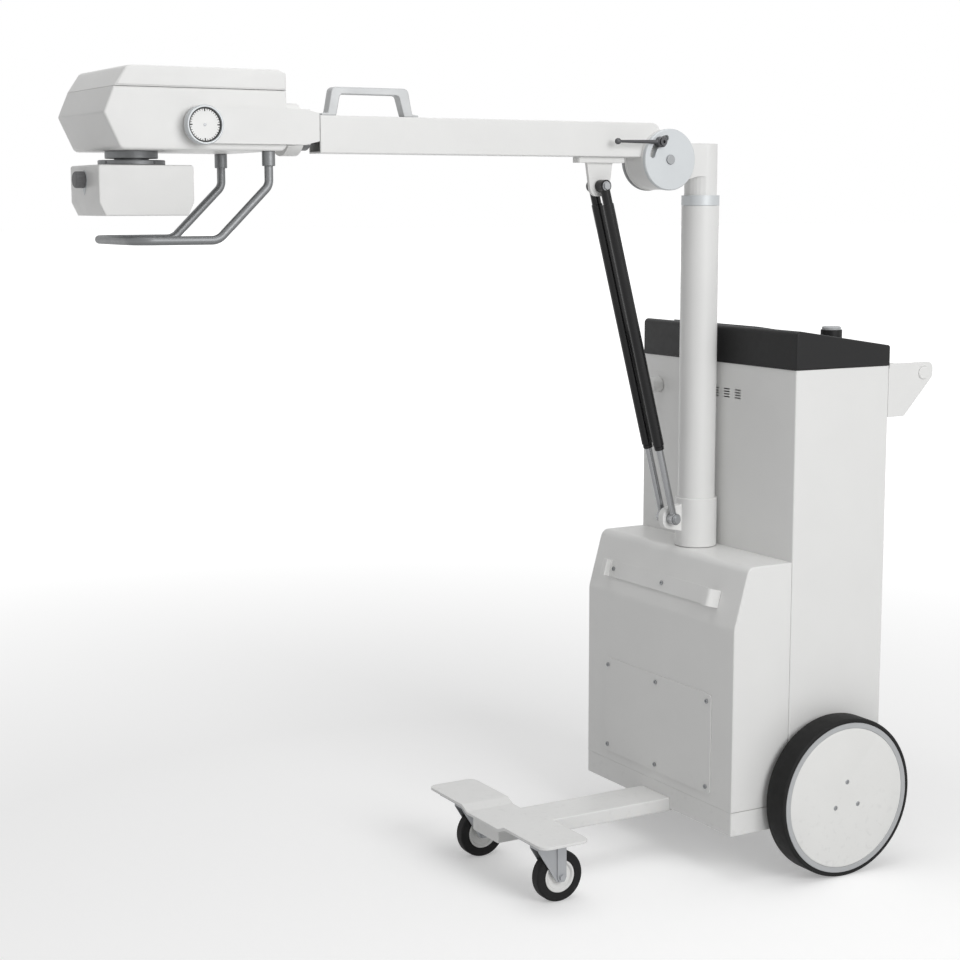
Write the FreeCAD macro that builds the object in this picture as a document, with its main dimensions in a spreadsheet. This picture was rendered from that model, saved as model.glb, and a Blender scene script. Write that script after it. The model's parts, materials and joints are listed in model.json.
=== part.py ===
import FreeCAD, Part
import math
import os
import Sketcher
from FreeCAD import Placement, Rotation, Vector

# Mobile x-ray machine in millimetres: X to the right hand side, -Y to the front, +Z up, floor at z = 0

doc = FreeCAD.newDocument("mobile_xray_machine")
sheet = doc.addObject("Spreadsheet::Sheet", "Sizes")


class Size:
    """A length or angle that carries both its value and the sheet expression behind it."""

    def __init__(self, value, text):
        self.value = float(value)
        self.text = text

    def __add__(self, other):
        o = lift(other)
        return Size(self.value + o.value, "(%s + %s)" % (self.text, o.text))

    def __radd__(self, other):
        return lift(other) + self

    def __sub__(self, other):
        o = lift(other)
        return Size(self.value - o.value, "(%s - %s)" % (self.text, o.text))

    def __rsub__(self, other):
        return lift(other) - self

    def __mul__(self, other):
        o = lift(other)
        return Size(self.value * o.value, "(%s * %s)" % (self.text, o.text))

    def __rmul__(self, other):
        return lift(other) * self

    def __truediv__(self, other):
        o = lift(other)
        return Size(self.value / o.value, "(%s / %s)" % (self.text, o.text))

    def __neg__(self):
        return Size(-self.value, "(-1 * %s)" % self.text)


def lift(number):
    """Give a plain number the same form as a Size."""
    if isinstance(number, Size):
        return number
    return Size(number, "(%r)" % float(number))


def cosine(angle):
    return Size(math.cos(math.radians(angle.value)), "cos(%s)" % angle.text)


def sine(angle):
    return Size(math.sin(math.radians(angle.value)), "sin(%s)" % angle.text)


def arc_tangent(rise, run):
    return Size(math.degrees(math.atan2(rise.value, run.value)), "atan2(%s; %s)" % (rise.text, run.text))


def root(square):
    return Size(math.sqrt(square.value), "sqrt(%s)" % square.text)


row_count = 0


def driving(alias, value):
    """Write one independent size in the sheet."""
    global row_count
    row_count += 1
    sheet.set("A%d" % row_count, alias)
    sheet.set("B%d" % row_count, str(value))
    sheet.setAlias("B%d" % row_count, alias)
    return Size(value, "Sizes." + alias)


def derived(alias, size):
    """Write one size in the sheet that follows from others."""
    global row_count
    row_count += 1
    sheet.set("A%d" % row_count, alias)
    sheet.set("B%d" % row_count, "=" + size.text.replace("Sizes.", ""))
    sheet.setAlias("B%d" % row_count, alias)
    return Size(size.value, "Sizes." + alias)


# Seats and clearances
seat = 0.3
running = 0.06
sheet_wall = 2.0

# Cabinet
half_width = 259.7
cover_depth = 140.0
cabinet_depth = 376.0
pan_bottom = 102.0
pan_top = 148.5
slant_start = 518.0
cover_top = 639.6
slant_run = 33.6
brow_radius = 19.0
cabinet_top = 1018.0
lid_front_height = 78.0
lid_rear_height = 41.0

# Column
column_setback = 93.9
column_radius = 38.0
collar_wall = 4.7
collar_top = 741.0
column_top = 1336.0
ring_height = 20.6
post_radius = 30.0
head_post_radius = 33.0

# Lift joint between column and arm
pivot_ahead = 104.9
pivot_z = 1426.0
disc_radius = 60.0
disc_thickness = 10.0
drum_half_width = 25.0
ear_thickness = 6.4
pivot_radius = 8.0
slot_radius = 43.0
slot_half_width = 6.0
slot_up = 24.0
slot_down = 40.0
clamp_angle = 52.0
clamp_radius = 5.5

# Arm
arm_length = 750.0
arm_top = 1497.5
arm_height = 67.0
arm_wall = 3.0
arm_tail = 13.0

# Gas springs
upper_ahead = 141.0
upper_below = 51.5
lower_ahead = 69.4
lower_z = 702.0
spring_offset = 20.0
spring_radius = 11.0
rod_radius = 7.0
rod_shown = 150.0
lug_half = 4.0

# Roll joint, yoke and tilt joint
roll_z = 1471.5
flange_radius = 36.5
flange_depth = 20.7
neck_depth = 18.0
hub_radius = 46.5
hub_depth = 28.0
bridge_depth = 10.0
yoke_gap = 2.0
yoke_plate = 7.4
yoke_half_height = 30.0
tilt_ahead = 199.0
dial_radius = 32.6
dial_depth = 16.0

# Tube head
head_half_width = 122.6
head_gap = 30.5
head_length = 325.5
head_bottom = 1430.5
seam_rise = 101.8
head_rise = 136.5
nose_rise = 59.0
head_wall = 3.0

# Collimator and steering loop
beam_behind_nose = 88.8
collimator_half_width = 74.6
collimator_half_length = 84.0
collimator_top = 1406.3
knob_length = 18.0
collimator_bottom = 1321.5
upper_ring_radius = 45.0
lower_ring_radius = 57.0
loop_half_width = 108.0
loop_tube_radius = 7.5

# Handle, base, wheels
handle_behind = 92.0
handle_z = 1000.0
handle_radius = 13.0
handle_end = 25.0
bar_half_width = 50.5
bar_bottom = 96.0
bar_height = 28.0
bar_ahead = 409.0
wing_height = 140.0
wing_half_span = 229.0
wing_inner = 84.0
wing_front = 417.0
wing_rear = 308.0
wing_thickness = 6.0
caster_offset = 150.0
caster_ahead = 367.0
caster_trail = 31.0
caster_radius = 51.0
caster_half_width = 12.5
wheel_radius = 162.5
wheel_width = 54.0
wheel_gap = 14.0
wheel_back = 236.5
axle_radius = 10.0

# Base pan with the two axle blocks
pan_floor = 3.0
block_inner = 228.0
block_outer = 248.0
block_half_length = 24.0
bar_tail = 300.0
pan_corner = 4.0

# Front cover: folded sheet with a sloped brow
cover_bend_radius = 40.0
cover_edge_radius = 3.0
shoulder_radius = 36.0

# Screw positions on the service panel and the hook bar
screw_side = 177.0
screw_low = 183.0
screw_high = 359.0
screw_head = 4.5
screw_head_height = 2.6
screw_shank = 2.2
screw_length = 9.0
panel_thickness = 2.0
hook_thickness = 3.0
hook_rise = 50.0

# Service panel
panel_half_width = 190.5
panel_bottom = 168.8
panel_top = 374.6
panel_corner = 9.0

# Hook bar for winding a cable, drawn flat and laid on the sloped brow
hook_half = 193.0
hook_reach = 28.0
hook_lip = 19.0
hook_bend = 8.0
hook_width = 35.0

# Rear cabinet: four walls with slotted vents and axle holes
cabinet_corner = 3.5
vent_pitch = 37.0
vent_width = 20.0
vent_slot = 2.6
vent_step = 5.4
vent_z = 957.0

# Hanger peg on the upper front wall
peg_side = -201.0
peg_height = 955.0
peg_radius = 17.0
peg_length = 26.0
peg_round = 2.0

# Console lid with the boss of the stop button
button_x = 190.0
button_back = 143.0
button_boss = 21.5
button_top = 1090.0
button_well = 9.0
button_cap = 19.0
button_stem = 6.0
lid_wall = 3.5
lid_overhang = 1.4
lid_brow_radius = 10.0
lid_rear_radius = 5.0
lid_edge_radius = 4.0

# Stop button: mushroom cap on a sliding stem
button_travel = 4.0
button_round = 2.0

# Console plate let on the sloped top, drawn flat and tilted with the lid
console_side = -50.0
console_half = 150.0
console_front = 32.0
console_depth = 170.0
console_corner = 10.0
console_thickness = 3.0
key_pitch = 34.0
key_size = 24.0
key_height = 1.2
display_recess = 1.0

# Handle side plates and the push handle tube
handle_plate = 4.0
handle_foot = 914.0
handle_low = 43.0

# Base bar and the joggled front plate
bar_corner = 3.0
bar_wall = 3.0
joggle = 22.0
wing_corner_radius = 20.0

# Casters: top plate with ball race, swivelling fork, tyre and hub
king_radius = 5.0
caster_axle = 4.0
leg_thickness = 3.0
race_radius = 22.0
hub_edge = 32.5
leg_gap = 1.5
strap_half = 10.0
strap_height = 2.5
axle_nut_radius = 6.5
axle_nut_height = 4.0
caster_plate_half_width = 38.0
caster_plate_half_length = 46.0

# Rear axle and the two large wheels
rim_edge = 153.3
rim_seat = 138.0
cap_radius = 142.2
cap_hole_pitch = 33.0
cap_hole_radius = 5.0

# Fixed column post on the base bar
post_top = 790.0
shoulder_top = 644.0

# High voltage generator bolted across the axle blocks
generator_half = 165.0
generator_top = 480.0
generator_corner = 12.0

# Turning column tube, collar with the lower spring lug, and bright ring
pin_radius = 6.0
lug_round = 19.0
collar_lug = 8.0

# Swivel head: post, block and two round ears about the arm pivot
drum_radius = 58.5
ear_radius = 59.3
head_block_top = 1459.0
head_block_bottom = 1394.0
disc_edge = 1.5
eye_outer = 28.0

# Arm tube with the solid drum that turns between the ears
arm_rear_round = 18.0
arm_edge_round = 2.5

# Bracket under the arm that the springs push on
bracket_half = 54.0
bracket_depth = 11.0
bracket_lug = 20.0

# Carrying handle over the front end of the arm
loop_rise = 51.5
carry_handle_width = 22.0

# Arm end flange and the clamp that locks the arm
spindle_radius = 12.0
lever_length = 102.0

# Two gas springs side by side, each a rod on the collar and a cylinder under the arm
rod_length = 285.0
eye_radius = 12.0

# Yoke: hub and spindle in the arm flange, bridge and two side plates
trunnion_radius = 9.0

# Tube head: lower shell, lid shell and the unit inside
nose_run = 28.0
nose_top_run = 18.5
head_rear_round = 14.0
head_edge_round = 4.0
head_lid_edge_round = 4.0
tank_half = 104.0

# Steering loop under the tube head
loop_z = 1280.0
loop_bend = 35.0

# Beam flange, turning collimator and its knob
spigot_radius = 25.0
spigot_bore = 18.0
case_wall = 2.5
bevel_run = 11.0
bevel_rise = 22.5
collimator_edge_round = 2.5
window_half = 50.0
knob_z = 1382.0
knob_radius = 14.0
knob_stem = 4.0

# Write every size above in the sheet
for name, value in list(globals().items()):
    if isinstance(value, float):
        globals()[name] = driving(name, value)

# Positions that follow from the sizes
reach_front = derived(
    "reach_front",
    pivot_ahead - column_setback + arm_length + neck_depth + flange_depth + seat + hub_depth + bridge_depth
    + head_gap + head_length - beam_behind_nose + collimator_half_length + seat + knob_length)
front_y = derived("front_face_position", (reach_front - cabinet_depth - handle_behind - handle_end) / 2.0)
rear_y = derived("rear_face_position", front_y + cabinet_depth)
seam_y = derived("cover_seam_position", front_y + cover_depth)
column_y = derived("column_position", front_y + column_setback)
pivot_y = derived("pivot_position", column_y - pivot_ahead)
arm_front_y = derived("arm_front_position", pivot_y - arm_length)
flange_y = derived("flange_face_position", arm_front_y - neck_depth - flange_depth)
hub_y = derived("hub_face_position", flange_y - seat)
bridge_y = derived("bridge_position", hub_y - hub_depth - bridge_depth)
head_rear_y = derived("head_rear_position", bridge_y - head_gap)
nose_y = derived("nose_position", head_rear_y - head_length)
head_seam = derived("head_seam_height", head_bottom + seam_rise)
head_top = derived("head_top_height", head_bottom + head_rise)
nose_height = derived("nose_height", head_bottom + nose_rise)
tilt_y = derived("tilt_axis_position", hub_y - hub_depth - tilt_ahead)
beam_y = derived("beam_axis_position", nose_y + beam_behind_nose)
arm_bottom = derived("arm_bottom_height", arm_top - arm_height)
upper_y = derived("spring_upper_position", pivot_y - upper_ahead)
upper_z = derived("spring_upper_height", pivot_z - upper_below)
lower_y = derived("spring_lower_position", column_y - lower_ahead)
spring_length = derived(
    "spring_length",
    root((lower_y - upper_y) * (lower_y - upper_y) + (upper_z - lower_z) * (upper_z - lower_z)))
spring_tilt = derived("spring_tilt", arc_tangent(lower_y - upper_y, upper_z - lower_z))
clamp_y = derived("clamp_bolt_position", pivot_y - slot_radius * cosine(clamp_angle))
clamp_z = derived("clamp_bolt_height", pivot_z + slot_radius * sine(clamp_angle))
ear_face = derived("ear_outer_face", drum_half_width + seat + ear_thickness)
disc_face = derived("disc_inner_face", ear_face + seat)
plate_face = derived("yoke_plate_inner_face", head_half_width + yoke_gap)
plate_outer = derived("yoke_plate_outer_face", plate_face + yoke_plate)
bar_top = derived("base_bar_top_height", bar_bottom + bar_height)
wheel_y = derived("rear_wheel_position", front_y + wheel_back)
wheel_face = derived("rear_wheel_inner_face", half_width + wheel_gap)
caster_y = derived("caster_axis_position", front_y - caster_ahead)
handle_y = derived("handle_position", rear_y + handle_behind)
lid_slope = derived("lid_slope", arc_tangent(lid_front_height - lid_rear_height, cabinet_depth - cover_depth + lid_overhang * 2))
doc.recompute()


def bind(item, name, size):
    """Tie one property to its sheet expression."""
    item.setExpression(name, lift(size).text)


def refresh(*items):
    """Bring the sheet and a few features up to date without rebuilding the rest."""
    sheet.recompute()
    for item in items:
        item.recompute()


def new_body(label):
    body = doc.addObject("PartDesign::Body", label)
    body.Label = label
    return body


def place_sketch(body, role, offset):
    """Attach an empty sketch to one origin plane of a body, moved along the plane's normal."""
    drawing = body.newObject("Sketcher::SketchObject", body.Label + "_sketch")
    plane = [f for f in body.Origin.OriginFeatures if f.Role == role][0]
    drawing.AttachmentSupport = [(plane, "")]
    drawing.MapMode = "FlatFace"
    size = lift(offset)
    drawing.AttachmentOffset = Placement(Vector(0, 0, size.value), Rotation())
    drawing.setExpression("AttachmentOffset.Base.z", size.text)
    return drawing


def pin_point(drawing, geometry, end, corner):
    """Fix one sketch point by its two distances from the sketch origin."""
    for kind, size in zip(("DistanceX", "DistanceY"), corner):
        size = lift(size)
        rule = Sketcher.Constraint(kind, -1, 1, geometry, end, size.value)
        index = drawing.addConstraint(rule)
        drawing.setExpression("Constraints[%d]" % index, size.text)


def draw_loop(drawing, corners, rounds=None, closed=True):
    """Draw a polygon with pinned corners, then round the corners named in rounds."""
    first = drawing.GeometryCount
    values = [Vector(lift(x).value, lift(y).value, 0) for x, y in corners]
    count = len(corners)
    lines = count if closed else count - 1
    for i in range(lines):
        drawing.addGeometry(Part.LineSegment(values[i], values[(i + 1) % count]), False)
    for i in range(lines if closed else lines - 1):
        rule = Sketcher.Constraint("Coincident", first + i, 2, first + (i + 1) % count, 1)
        drawing.addConstraint(rule)
    for i in range(count):
        if i < lines:
            pin_point(drawing, first + i, 1, corners[i])
        else:
            pin_point(drawing, first + i - 1, 2, corners[i])
    for i, radius in (rounds or {}).items():
        before = first + (i - 1) % count
        after = first + i
        radius = lift(radius)
        near_before = (values[(i - 1) % count] + values[i]) * 0.5
        near_after = (values[(i + 1) % count] + values[i]) * 0.5
        drawing.fillet(before, after, near_before, near_after, radius.value, True, True)
        arc = [k for k, g in enumerate(drawing.Geometry) if g.TypeId == "Part::GeomArcOfCircle"][-1]
        index = drawing.addConstraint(Sketcher.Constraint("Radius", arc, radius.value))
        drawing.setExpression("Constraints[%d]" % index, radius.text)


def draw_box(drawing, x_low, y_low, x_high, y_high, rounds=None):
    corners = [(x_low, y_low), (x_high, y_low), (x_high, y_high), (x_low, y_high)]
    draw_loop(drawing, corners, {i: rounds for i in range(4)} if rounds is not None else None)


def draw_hexagon(drawing, x, y, radius):
    """Draw a hexagon with a corner at the top, each corner at the radius."""
    half = lift(radius) * 0.5
    across = lift(radius) * cosine(Size(30.0, "30 deg"))
    draw_loop(drawing, [
        (x, lift(y) + radius), (lift(x) - across, lift(y) + half), (lift(x) - across, lift(y) - half),
        (x, lift(y) - radius), (lift(x) + across, lift(y) - half), (lift(x) + across, lift(y) + half),
    ])


def draw_circle(drawing, x, y, radius):
    size = lift(radius)
    centre = Vector(lift(x).value, lift(y).value, 0)
    index = drawing.addGeometry(Part.Circle(centre, Vector(0, 0, 1), size.value), False)
    rule = drawing.addConstraint(Sketcher.Constraint("Radius", index, size.value))
    drawing.setExpression("Constraints[%d]" % rule, size.text)
    pin_point(drawing, index, 3, (x, y))


def add_feature(body, kind, drawing, length, both_ways=False, backwards=False):
    """Pad or pocket a sketch by a bound length."""
    item = body.newObject(kind, body.Label + "_step")
    item.Profile = drawing
    item.Midplane = both_ways
    item.Reversed = backwards
    item.Length = lift(length).value
    bind(item, "Length", length)
    drawing.Visibility = False
    refresh(drawing, item)
    return item


def pad(body, drawing, length, both_ways=False, backwards=False):
    return add_feature(body, "PartDesign::Pad", drawing, length, both_ways, backwards)


def pocket(body, drawing, length, both_ways=False, backwards=False):
    return add_feature(body, "PartDesign::Pocket", drawing, length, both_ways, backwards)


def revolve(body, drawing, axis="V_Axis", cut=False):
    """Turn a sketch a full circle about one of its own axes."""
    kind = "PartDesign::Groove" if cut else "PartDesign::Revolution"
    item = body.newObject(kind, body.Label + "_turned")
    item.Profile = drawing
    item.ReferenceAxis = (drawing, [axis])
    item.Angle = 360.0
    drawing.Visibility = False
    refresh(drawing, item)
    return item


def pipe(body, ring, path):
    """Sweep a ring sketch along the line drawn in a path sketch."""
    item = body.newObject("PartDesign::AdditivePipe", body.Label + "_pipe")
    item.Profile = ring
    item.Spine = path
    ring.Visibility = False
    path.Visibility = False
    refresh(ring, path, item)
    return item


def round_faces(body, test, radius, chamfer=False):
    """Round or bevel every edge of the faces that pass a test."""
    shape = body.Tip.Shape
    names = ["Face%d" % (i + 1) for i, face in enumerate(shape.Faces) if test(face)]
    kind = "PartDesign::Chamfer" if chamfer else "PartDesign::Fillet"
    last = body.Tip
    item = body.newObject(kind, body.Label + "_rounded")
    item.Base = (last, names)
    if chamfer:
        item.Size = lift(radius).value
        bind(item, "Size", radius)
    else:
        item.Radius = lift(radius).value
        bind(item, "Radius", radius)
    refresh(item)
    return item


def faces_along(axis):
    """Test for flat faces whose normal lies along one axis."""
    def test(face):
        if face.Surface.TypeId != "Part::GeomPlane":
            return False
        return abs(face.normalAt(0, 0).dot(axis)) > 0.999
    return test


SIDEWAYS = Vector(1, 0, 0)


def rod_along(label, axis, centre, radius, length):
    """Cylinder primitive whose base centre and size follow the sheet."""
    item = doc.addObject("Part::Cylinder", label)
    item.Label = label
    turn = {"X": Rotation(Vector(0, 1, 0), 90), "Y": Rotation(Vector(1, 0, 0), -90), "Z": Rotation()}[axis]
    place = [lift(c) for c in centre]
    item.Placement = Placement(Vector(*[c.value for c in place]), turn)
    for name, size in zip("xyz", place):
        bind(item, "Placement.Base." + name, size)
    bind(item, "Radius", radius)
    bind(item, "Height", length)
    return item


def cut(label, base, tool):
    item = doc.addObject("Part::Cut", label)
    item.Label = label
    item.Base = base
    item.Tool = tool
    return item


def fuse(label, shapes):
    item = doc.addObject("Part::MultiFuse", label)
    item.Label = label
    item.Shapes = shapes
    return item


def group(label, shapes):
    item = doc.addObject("Part::Compound", label)
    item.Label = label
    item.Links = shapes
    return item


nodes = {}


def keep(name, item):
    """Register a finished piece under the name of its file."""
    item.Label = name
    nodes[name] = item
    return item


def round_edges(body, test, radius):
    """Round the edges that pass a test."""
    last = body.Tip
    names = ["Edge%d" % (i + 1) for i, edge in enumerate(last.Shape.Edges) if test(edge)]
    item = body.newObject("PartDesign::Fillet", body.Label + "_edges")
    item.Base = (last, names)
    item.Radius = lift(radius).value
    bind(item, "Radius", radius)
    refresh(item)
    return item


def stand_at(item, x, y, z, tilt=None):
    """Give a piece drawn about the origin its place, turned about X by tilt."""
    turn = Rotation() if tilt is None else Rotation(Vector(1, 0, 0), tilt.value)
    item.Placement = Placement(Vector(lift(x).value, lift(y).value, lift(z).value), turn)
    if tilt is not None:
        item.Placement.Rotation.Axis = Vector(1, 0, 0)
        bind(item, "Placement.Rotation.Angle", tilt)
    for name, size in zip("xyz", (x, y, z)):
        bind(item, "Placement.Base." + name, size)


def turned_about_z(label, x, y, points, rounds=None):
    """Solid of revolution about a vertical axis at (x, y)."""
    body = new_body(label)
    drawing = place_sketch(body, "XZ_Plane", 0)
    draw_loop(drawing, points, rounds)
    revolve(body, drawing, "V_Axis")
    stand_at(body, x, y, 0)
    return body


def turned_about_x(label, x, y, z, points, rounds=None):
    """Solid of revolution about a sideways axis through (y, z)."""
    body = new_body(label)
    drawing = place_sketch(body, "XZ_Plane", 0)
    draw_loop(drawing, points, rounds)
    revolve(body, drawing, "H_Axis")
    stand_at(body, x, y, z)
    return body


# Base pan with the two axle blocks
pan = new_body("base_pan")
drawing = place_sketch(pan, "XY_Plane", pan_bottom)
draw_box(drawing, -half_width, front_y, half_width, rear_y, pan_corner)
pad(pan, drawing, pan_top - pan_bottom)
drawing = place_sketch(pan, "XY_Plane", pan_top)
draw_box(drawing, pan_floor - half_width, front_y + pan_floor, half_width - pan_floor, rear_y - pan_floor)
pocket(pan, drawing, pan_top - pan_bottom - pan_floor)
block_top = derived("axle_block_top", wheel_radius + block_half_length)
drawing = place_sketch(pan, "XY_Plane", pan_bottom)
draw_box(drawing, block_inner, wheel_y - block_half_length, block_outer, wheel_y + block_half_length)
draw_box(drawing, -block_outer, wheel_y - block_half_length, -block_inner, wheel_y + block_half_length)
pad(pan, drawing, block_top - pan_bottom)
drawing = place_sketch(pan, "XY_Plane", bar_top + seat)
draw_box(drawing, -bar_half_width - seat, front_y - 5, bar_half_width + seat, front_y + bar_tail + seat)
pocket(pan, drawing, bar_height)
drawing = place_sketch(pan, "YZ_Plane", 0)
draw_circle(drawing, wheel_y, wheel_radius, axle_radius + seat)
pocket(pan, drawing, half_width * 2, both_ways=True)
keep("base_pan", pan)

# Front cover: folded sheet with a sloped brow
slant_angle = derived("slant_angle", arc_tangent(slant_run, cover_top - slant_start))
cover = new_body("front_cover_body")
drawing = place_sketch(cover, "YZ_Plane", 0)
cover_foot = derived("cover_foot", pan_top + seat)
draw_loop(drawing, [
    (front_y, cover_foot),
    (front_y, slant_start),
    (front_y + slant_run, cover_top),
    (seam_y - seat, cover_top),
    (seam_y - seat, cover_foot),
], {1: cover_bend_radius, 2: brow_radius})
pad(cover, drawing, half_width * 2, both_ways=True)
round_faces(cover, faces_along(SIDEWAYS), cover_edge_radius)
drawing = place_sketch(cover, "YZ_Plane", 0)
draw_loop(drawing, [
    (front_y + sheet_wall, cover_foot - 5),
    (front_y + sheet_wall, slant_start),
    (front_y + slant_run + sheet_wall, cover_top - sheet_wall),
    (seam_y + 5, cover_top - sheet_wall),
    (seam_y + 5, cover_foot - 5),
], {1: cover_bend_radius, 2: brow_radius - sheet_wall})
pocket(cover, drawing, (half_width - sheet_wall) * 2, both_ways=True)
drawing = place_sketch(cover, "XY_Plane", cover_top + 1)
draw_circle(drawing, 0, column_y, shoulder_radius + 1)
pocket(cover, drawing, 10)

# Screw positions on the service panel and the hook bar
hook_y = derived("hook_position", front_y + hook_rise * sine(slant_angle))
hook_z = derived("hook_height", slant_start + hook_rise * cosine(slant_angle))


def cover_screw(label, x, z):
    """Screw drawn about the origin, head towards -Y, under the head at y = 0."""
    head = doc.addObject("Part::Cylinder", label + "_head")
    head.Placement = Placement(Vector(0, 0, 0), Rotation(Vector(1, 0, 0), 90))
    bind(head, "Radius", screw_head)
    bind(head, "Height", screw_head_height)
    shank = doc.addObject("Part::Cylinder", label + "_shank")
    shank.Placement = Placement(Vector(0, 0, 0), Rotation(Vector(1, 0, 0), -90))
    bind(shank, "Radius", screw_shank)
    bind(shank, "Height", screw_length)
    socket = doc.addObject("Part::Prism", label + "_socket")
    socket.Polygon = 6
    socket.Placement = Placement(Vector(0, -screw_head_height.value * 0.4, 0), Rotation(Vector(1, 0, 0), 90))
    bind(socket, "Placement.Base.y", screw_head_height * -0.4)
    bind(socket, "Circumradius", screw_head * 0.55)
    bind(socket, "Height", screw_head_height)
    piece = cut(label, fuse(label + "_blank", [head, shank]), socket)
    piece.Placement = Placement(Vector(lift(x).value, 0, lift(z).value), Rotation())
    bind(piece, "Placement.Base.x", x)
    bind(piece, "Placement.Base.z", z)
    return piece


def drill(label, x, z):
    """Clearance hole cutter for one cover screw."""
    item = doc.addObject("Part::Cylinder", label)
    item.Placement = Placement(Vector(lift(x).value, -20, lift(z).value), Rotation(Vector(1, 0, 0), -90))
    bind(item, "Radius", screw_shank + seat)
    bind(item, "Placement.Base.x", x)
    bind(item, "Placement.Base.z", z)
    item.Height = 40
    return item


panel_spots = [(-screw_side, screw_low), (0, screw_low), (screw_side, screw_low)]
panel_spots += [(-screw_side, screw_high), (0, screw_high), (screw_side, screw_high)]
hook_spots = [(-screw_side, 0), (0, 0), (screw_side, 0)]
panel_drills = group("panel_drills", [drill("panel_drill_%d" % i, *p) for i, p in enumerate(panel_spots)])
hook_drills = group("hook_drills", [drill("hook_drill_%d" % i, *p) for i, p in enumerate(hook_spots)])
stand_at(panel_drills, 0, front_y, 0)
stand_at(hook_drills, 0, hook_y, hook_z, -slant_angle)
keep("front_cover", cut("front_cover", cut("front_cover_drilled", cover, panel_drills), hook_drills))
panel_screws = group("panel_screws", [cover_screw("panel_screw_%d" % i, *p) for i, p in enumerate(panel_spots)])
hook_screws = group("hook_screws", [cover_screw("hook_screw_%d" % i, *p) for i, p in enumerate(hook_spots)])
stand_at(panel_screws, 0, front_y - panel_thickness - seat * 2, 0)
hook_lift = derived("hook_screw_lift", hook_thickness + seat * 2)
stand_at(
    hook_screws, 0, hook_y - hook_lift * cosine(slant_angle), hook_z + hook_lift * sine(slant_angle), -slant_angle)
keep("cover_screws", group("cover_screws", [panel_screws, hook_screws]))

# Service panel
service = new_body("service_panel")
drawing = place_sketch(service, "XZ_Plane", seat - front_y)
draw_box(drawing, -panel_half_width, panel_bottom, panel_half_width,
         panel_top, panel_corner)
for spot in panel_spots:
    draw_circle(drawing, spot[0], spot[1], screw_shank + seat)
pad(service, drawing, panel_thickness)
keep("service_panel", service)

# Hook bar for winding a cable, drawn flat and laid on the sloped brow
hook = new_body("hook_bar")
skin = hook_thickness
drawing = place_sketch(hook, "XY_Plane", 0)
draw_loop(drawing, [
    (-hook_half, -seat),
    (hook_half, -seat),
    (hook_half, -hook_reach),
    (hook_half - hook_lip, -hook_reach),
    (hook_half - hook_lip, skin - hook_reach),
    (hook_half - skin, skin - hook_reach),
    (hook_half - skin, -seat - skin),
    (skin - hook_half, -seat - skin),
    (skin - hook_half, skin - hook_reach),
    (hook_lip - hook_half, skin - hook_reach),
    (hook_lip - hook_half, -hook_reach),
    (-hook_half, -hook_reach),
], {2: hook_bend, 11: hook_bend, 5: hook_bend - skin, 8: hook_bend - skin})
pad(hook, drawing, hook_width, both_ways=True)
drawing = place_sketch(hook, "XZ_Plane", -1)
for spot in hook_spots:
    draw_circle(drawing, spot[0], spot[1], screw_shank + seat)
pocket(hook, drawing, 10, backwards=True)
stand_at(hook, 0, hook_y, hook_z, -slant_angle)
keep("hook_bar", hook)

# Rear cabinet: four walls with slotted vents and axle holes
cabinet = new_body("rear_cabinet")
drawing = place_sketch(cabinet, "XY_Plane", cover_foot)
draw_box(drawing, -half_width, seam_y, half_width, rear_y, cabinet_corner)
draw_box(drawing, sheet_wall - half_width, seam_y + sheet_wall, half_width - sheet_wall, rear_y - sheet_wall)
pad(cabinet, drawing, cabinet_top - cover_foot)
drawing = place_sketch(cabinet, "XZ_Plane", -seam_y)
for column in (-2, -1, 0, 1, 2):
    for row in (-1.5, -0.5, 0.5, 1.5):
        low = vent_z + vent_step * row - vent_slot / 2
        left = vent_pitch * column - vent_width / 2
        draw_box(drawing, left, low, left + vent_width, low + vent_slot)
pocket(cabinet, drawing, sheet_wall * 2)
drawing = place_sketch(cabinet, "YZ_Plane", 0)
draw_circle(drawing, wheel_y, wheel_radius, axle_radius + 2)
pocket(cabinet, drawing, half_width * 2 + 2, both_ways=True)
keep("rear_cabinet", cabinet)

# Hanger peg on the upper front wall
peg = new_body("hanger_peg")
drawing = place_sketch(peg, "XZ_Plane", seat - seam_y)
draw_circle(drawing, peg_side, peg_height, peg_radius)
pad(peg, drawing, peg_length)
round_faces(peg, faces_along(Vector(0, 1, 0)), peg_round, chamfer=True)
keep("hanger_peg", peg)

# Console lid with the boss of the stop button
button_y = derived("button_position", seam_y + button_back)
lid_foot = derived("lid_foot", cabinet_top + seat)
lid = new_body("console_lid")
drawing = place_sketch(lid, "YZ_Plane", 0)
draw_loop(drawing, [
    (seam_y - lid_overhang, lid_foot),
    (seam_y - lid_overhang, cabinet_top + lid_front_height),
    (rear_y + lid_overhang, cabinet_top + lid_rear_height),
    (rear_y + lid_overhang, lid_foot),
], {1: lid_brow_radius, 2: lid_rear_radius})
pad(lid, drawing, (half_width + lid_overhang) * 2, both_ways=True)
round_faces(lid, faces_along(SIDEWAYS), lid_edge_radius)
drawing = place_sketch(lid, "YZ_Plane", 0)
draw_loop(drawing, [
    (seam_y + lid_wall, lid_foot - 5),
    (seam_y + lid_wall, cabinet_top + lid_front_height - lid_wall * 2),
    (rear_y - lid_wall, cabinet_top + lid_rear_height - lid_wall),
    (rear_y - lid_wall, lid_foot - 5),
])
pocket(lid, drawing, (half_width - lid_wall) * 2, both_ways=True)
drawing = place_sketch(lid, "XY_Plane", cabinet_top + lid_rear_height - lid_wall)
draw_circle(drawing, button_x, button_y, button_boss)
pad(lid, drawing, button_top - cabinet_top - lid_rear_height + lid_wall)
drawing = place_sketch(lid, "XY_Plane", button_top + 1)
draw_circle(drawing, button_x, button_y, button_stem + running)
pocket(lid, drawing, 60)
drawing = place_sketch(lid, "XY_Plane", button_top + 1)
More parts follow.
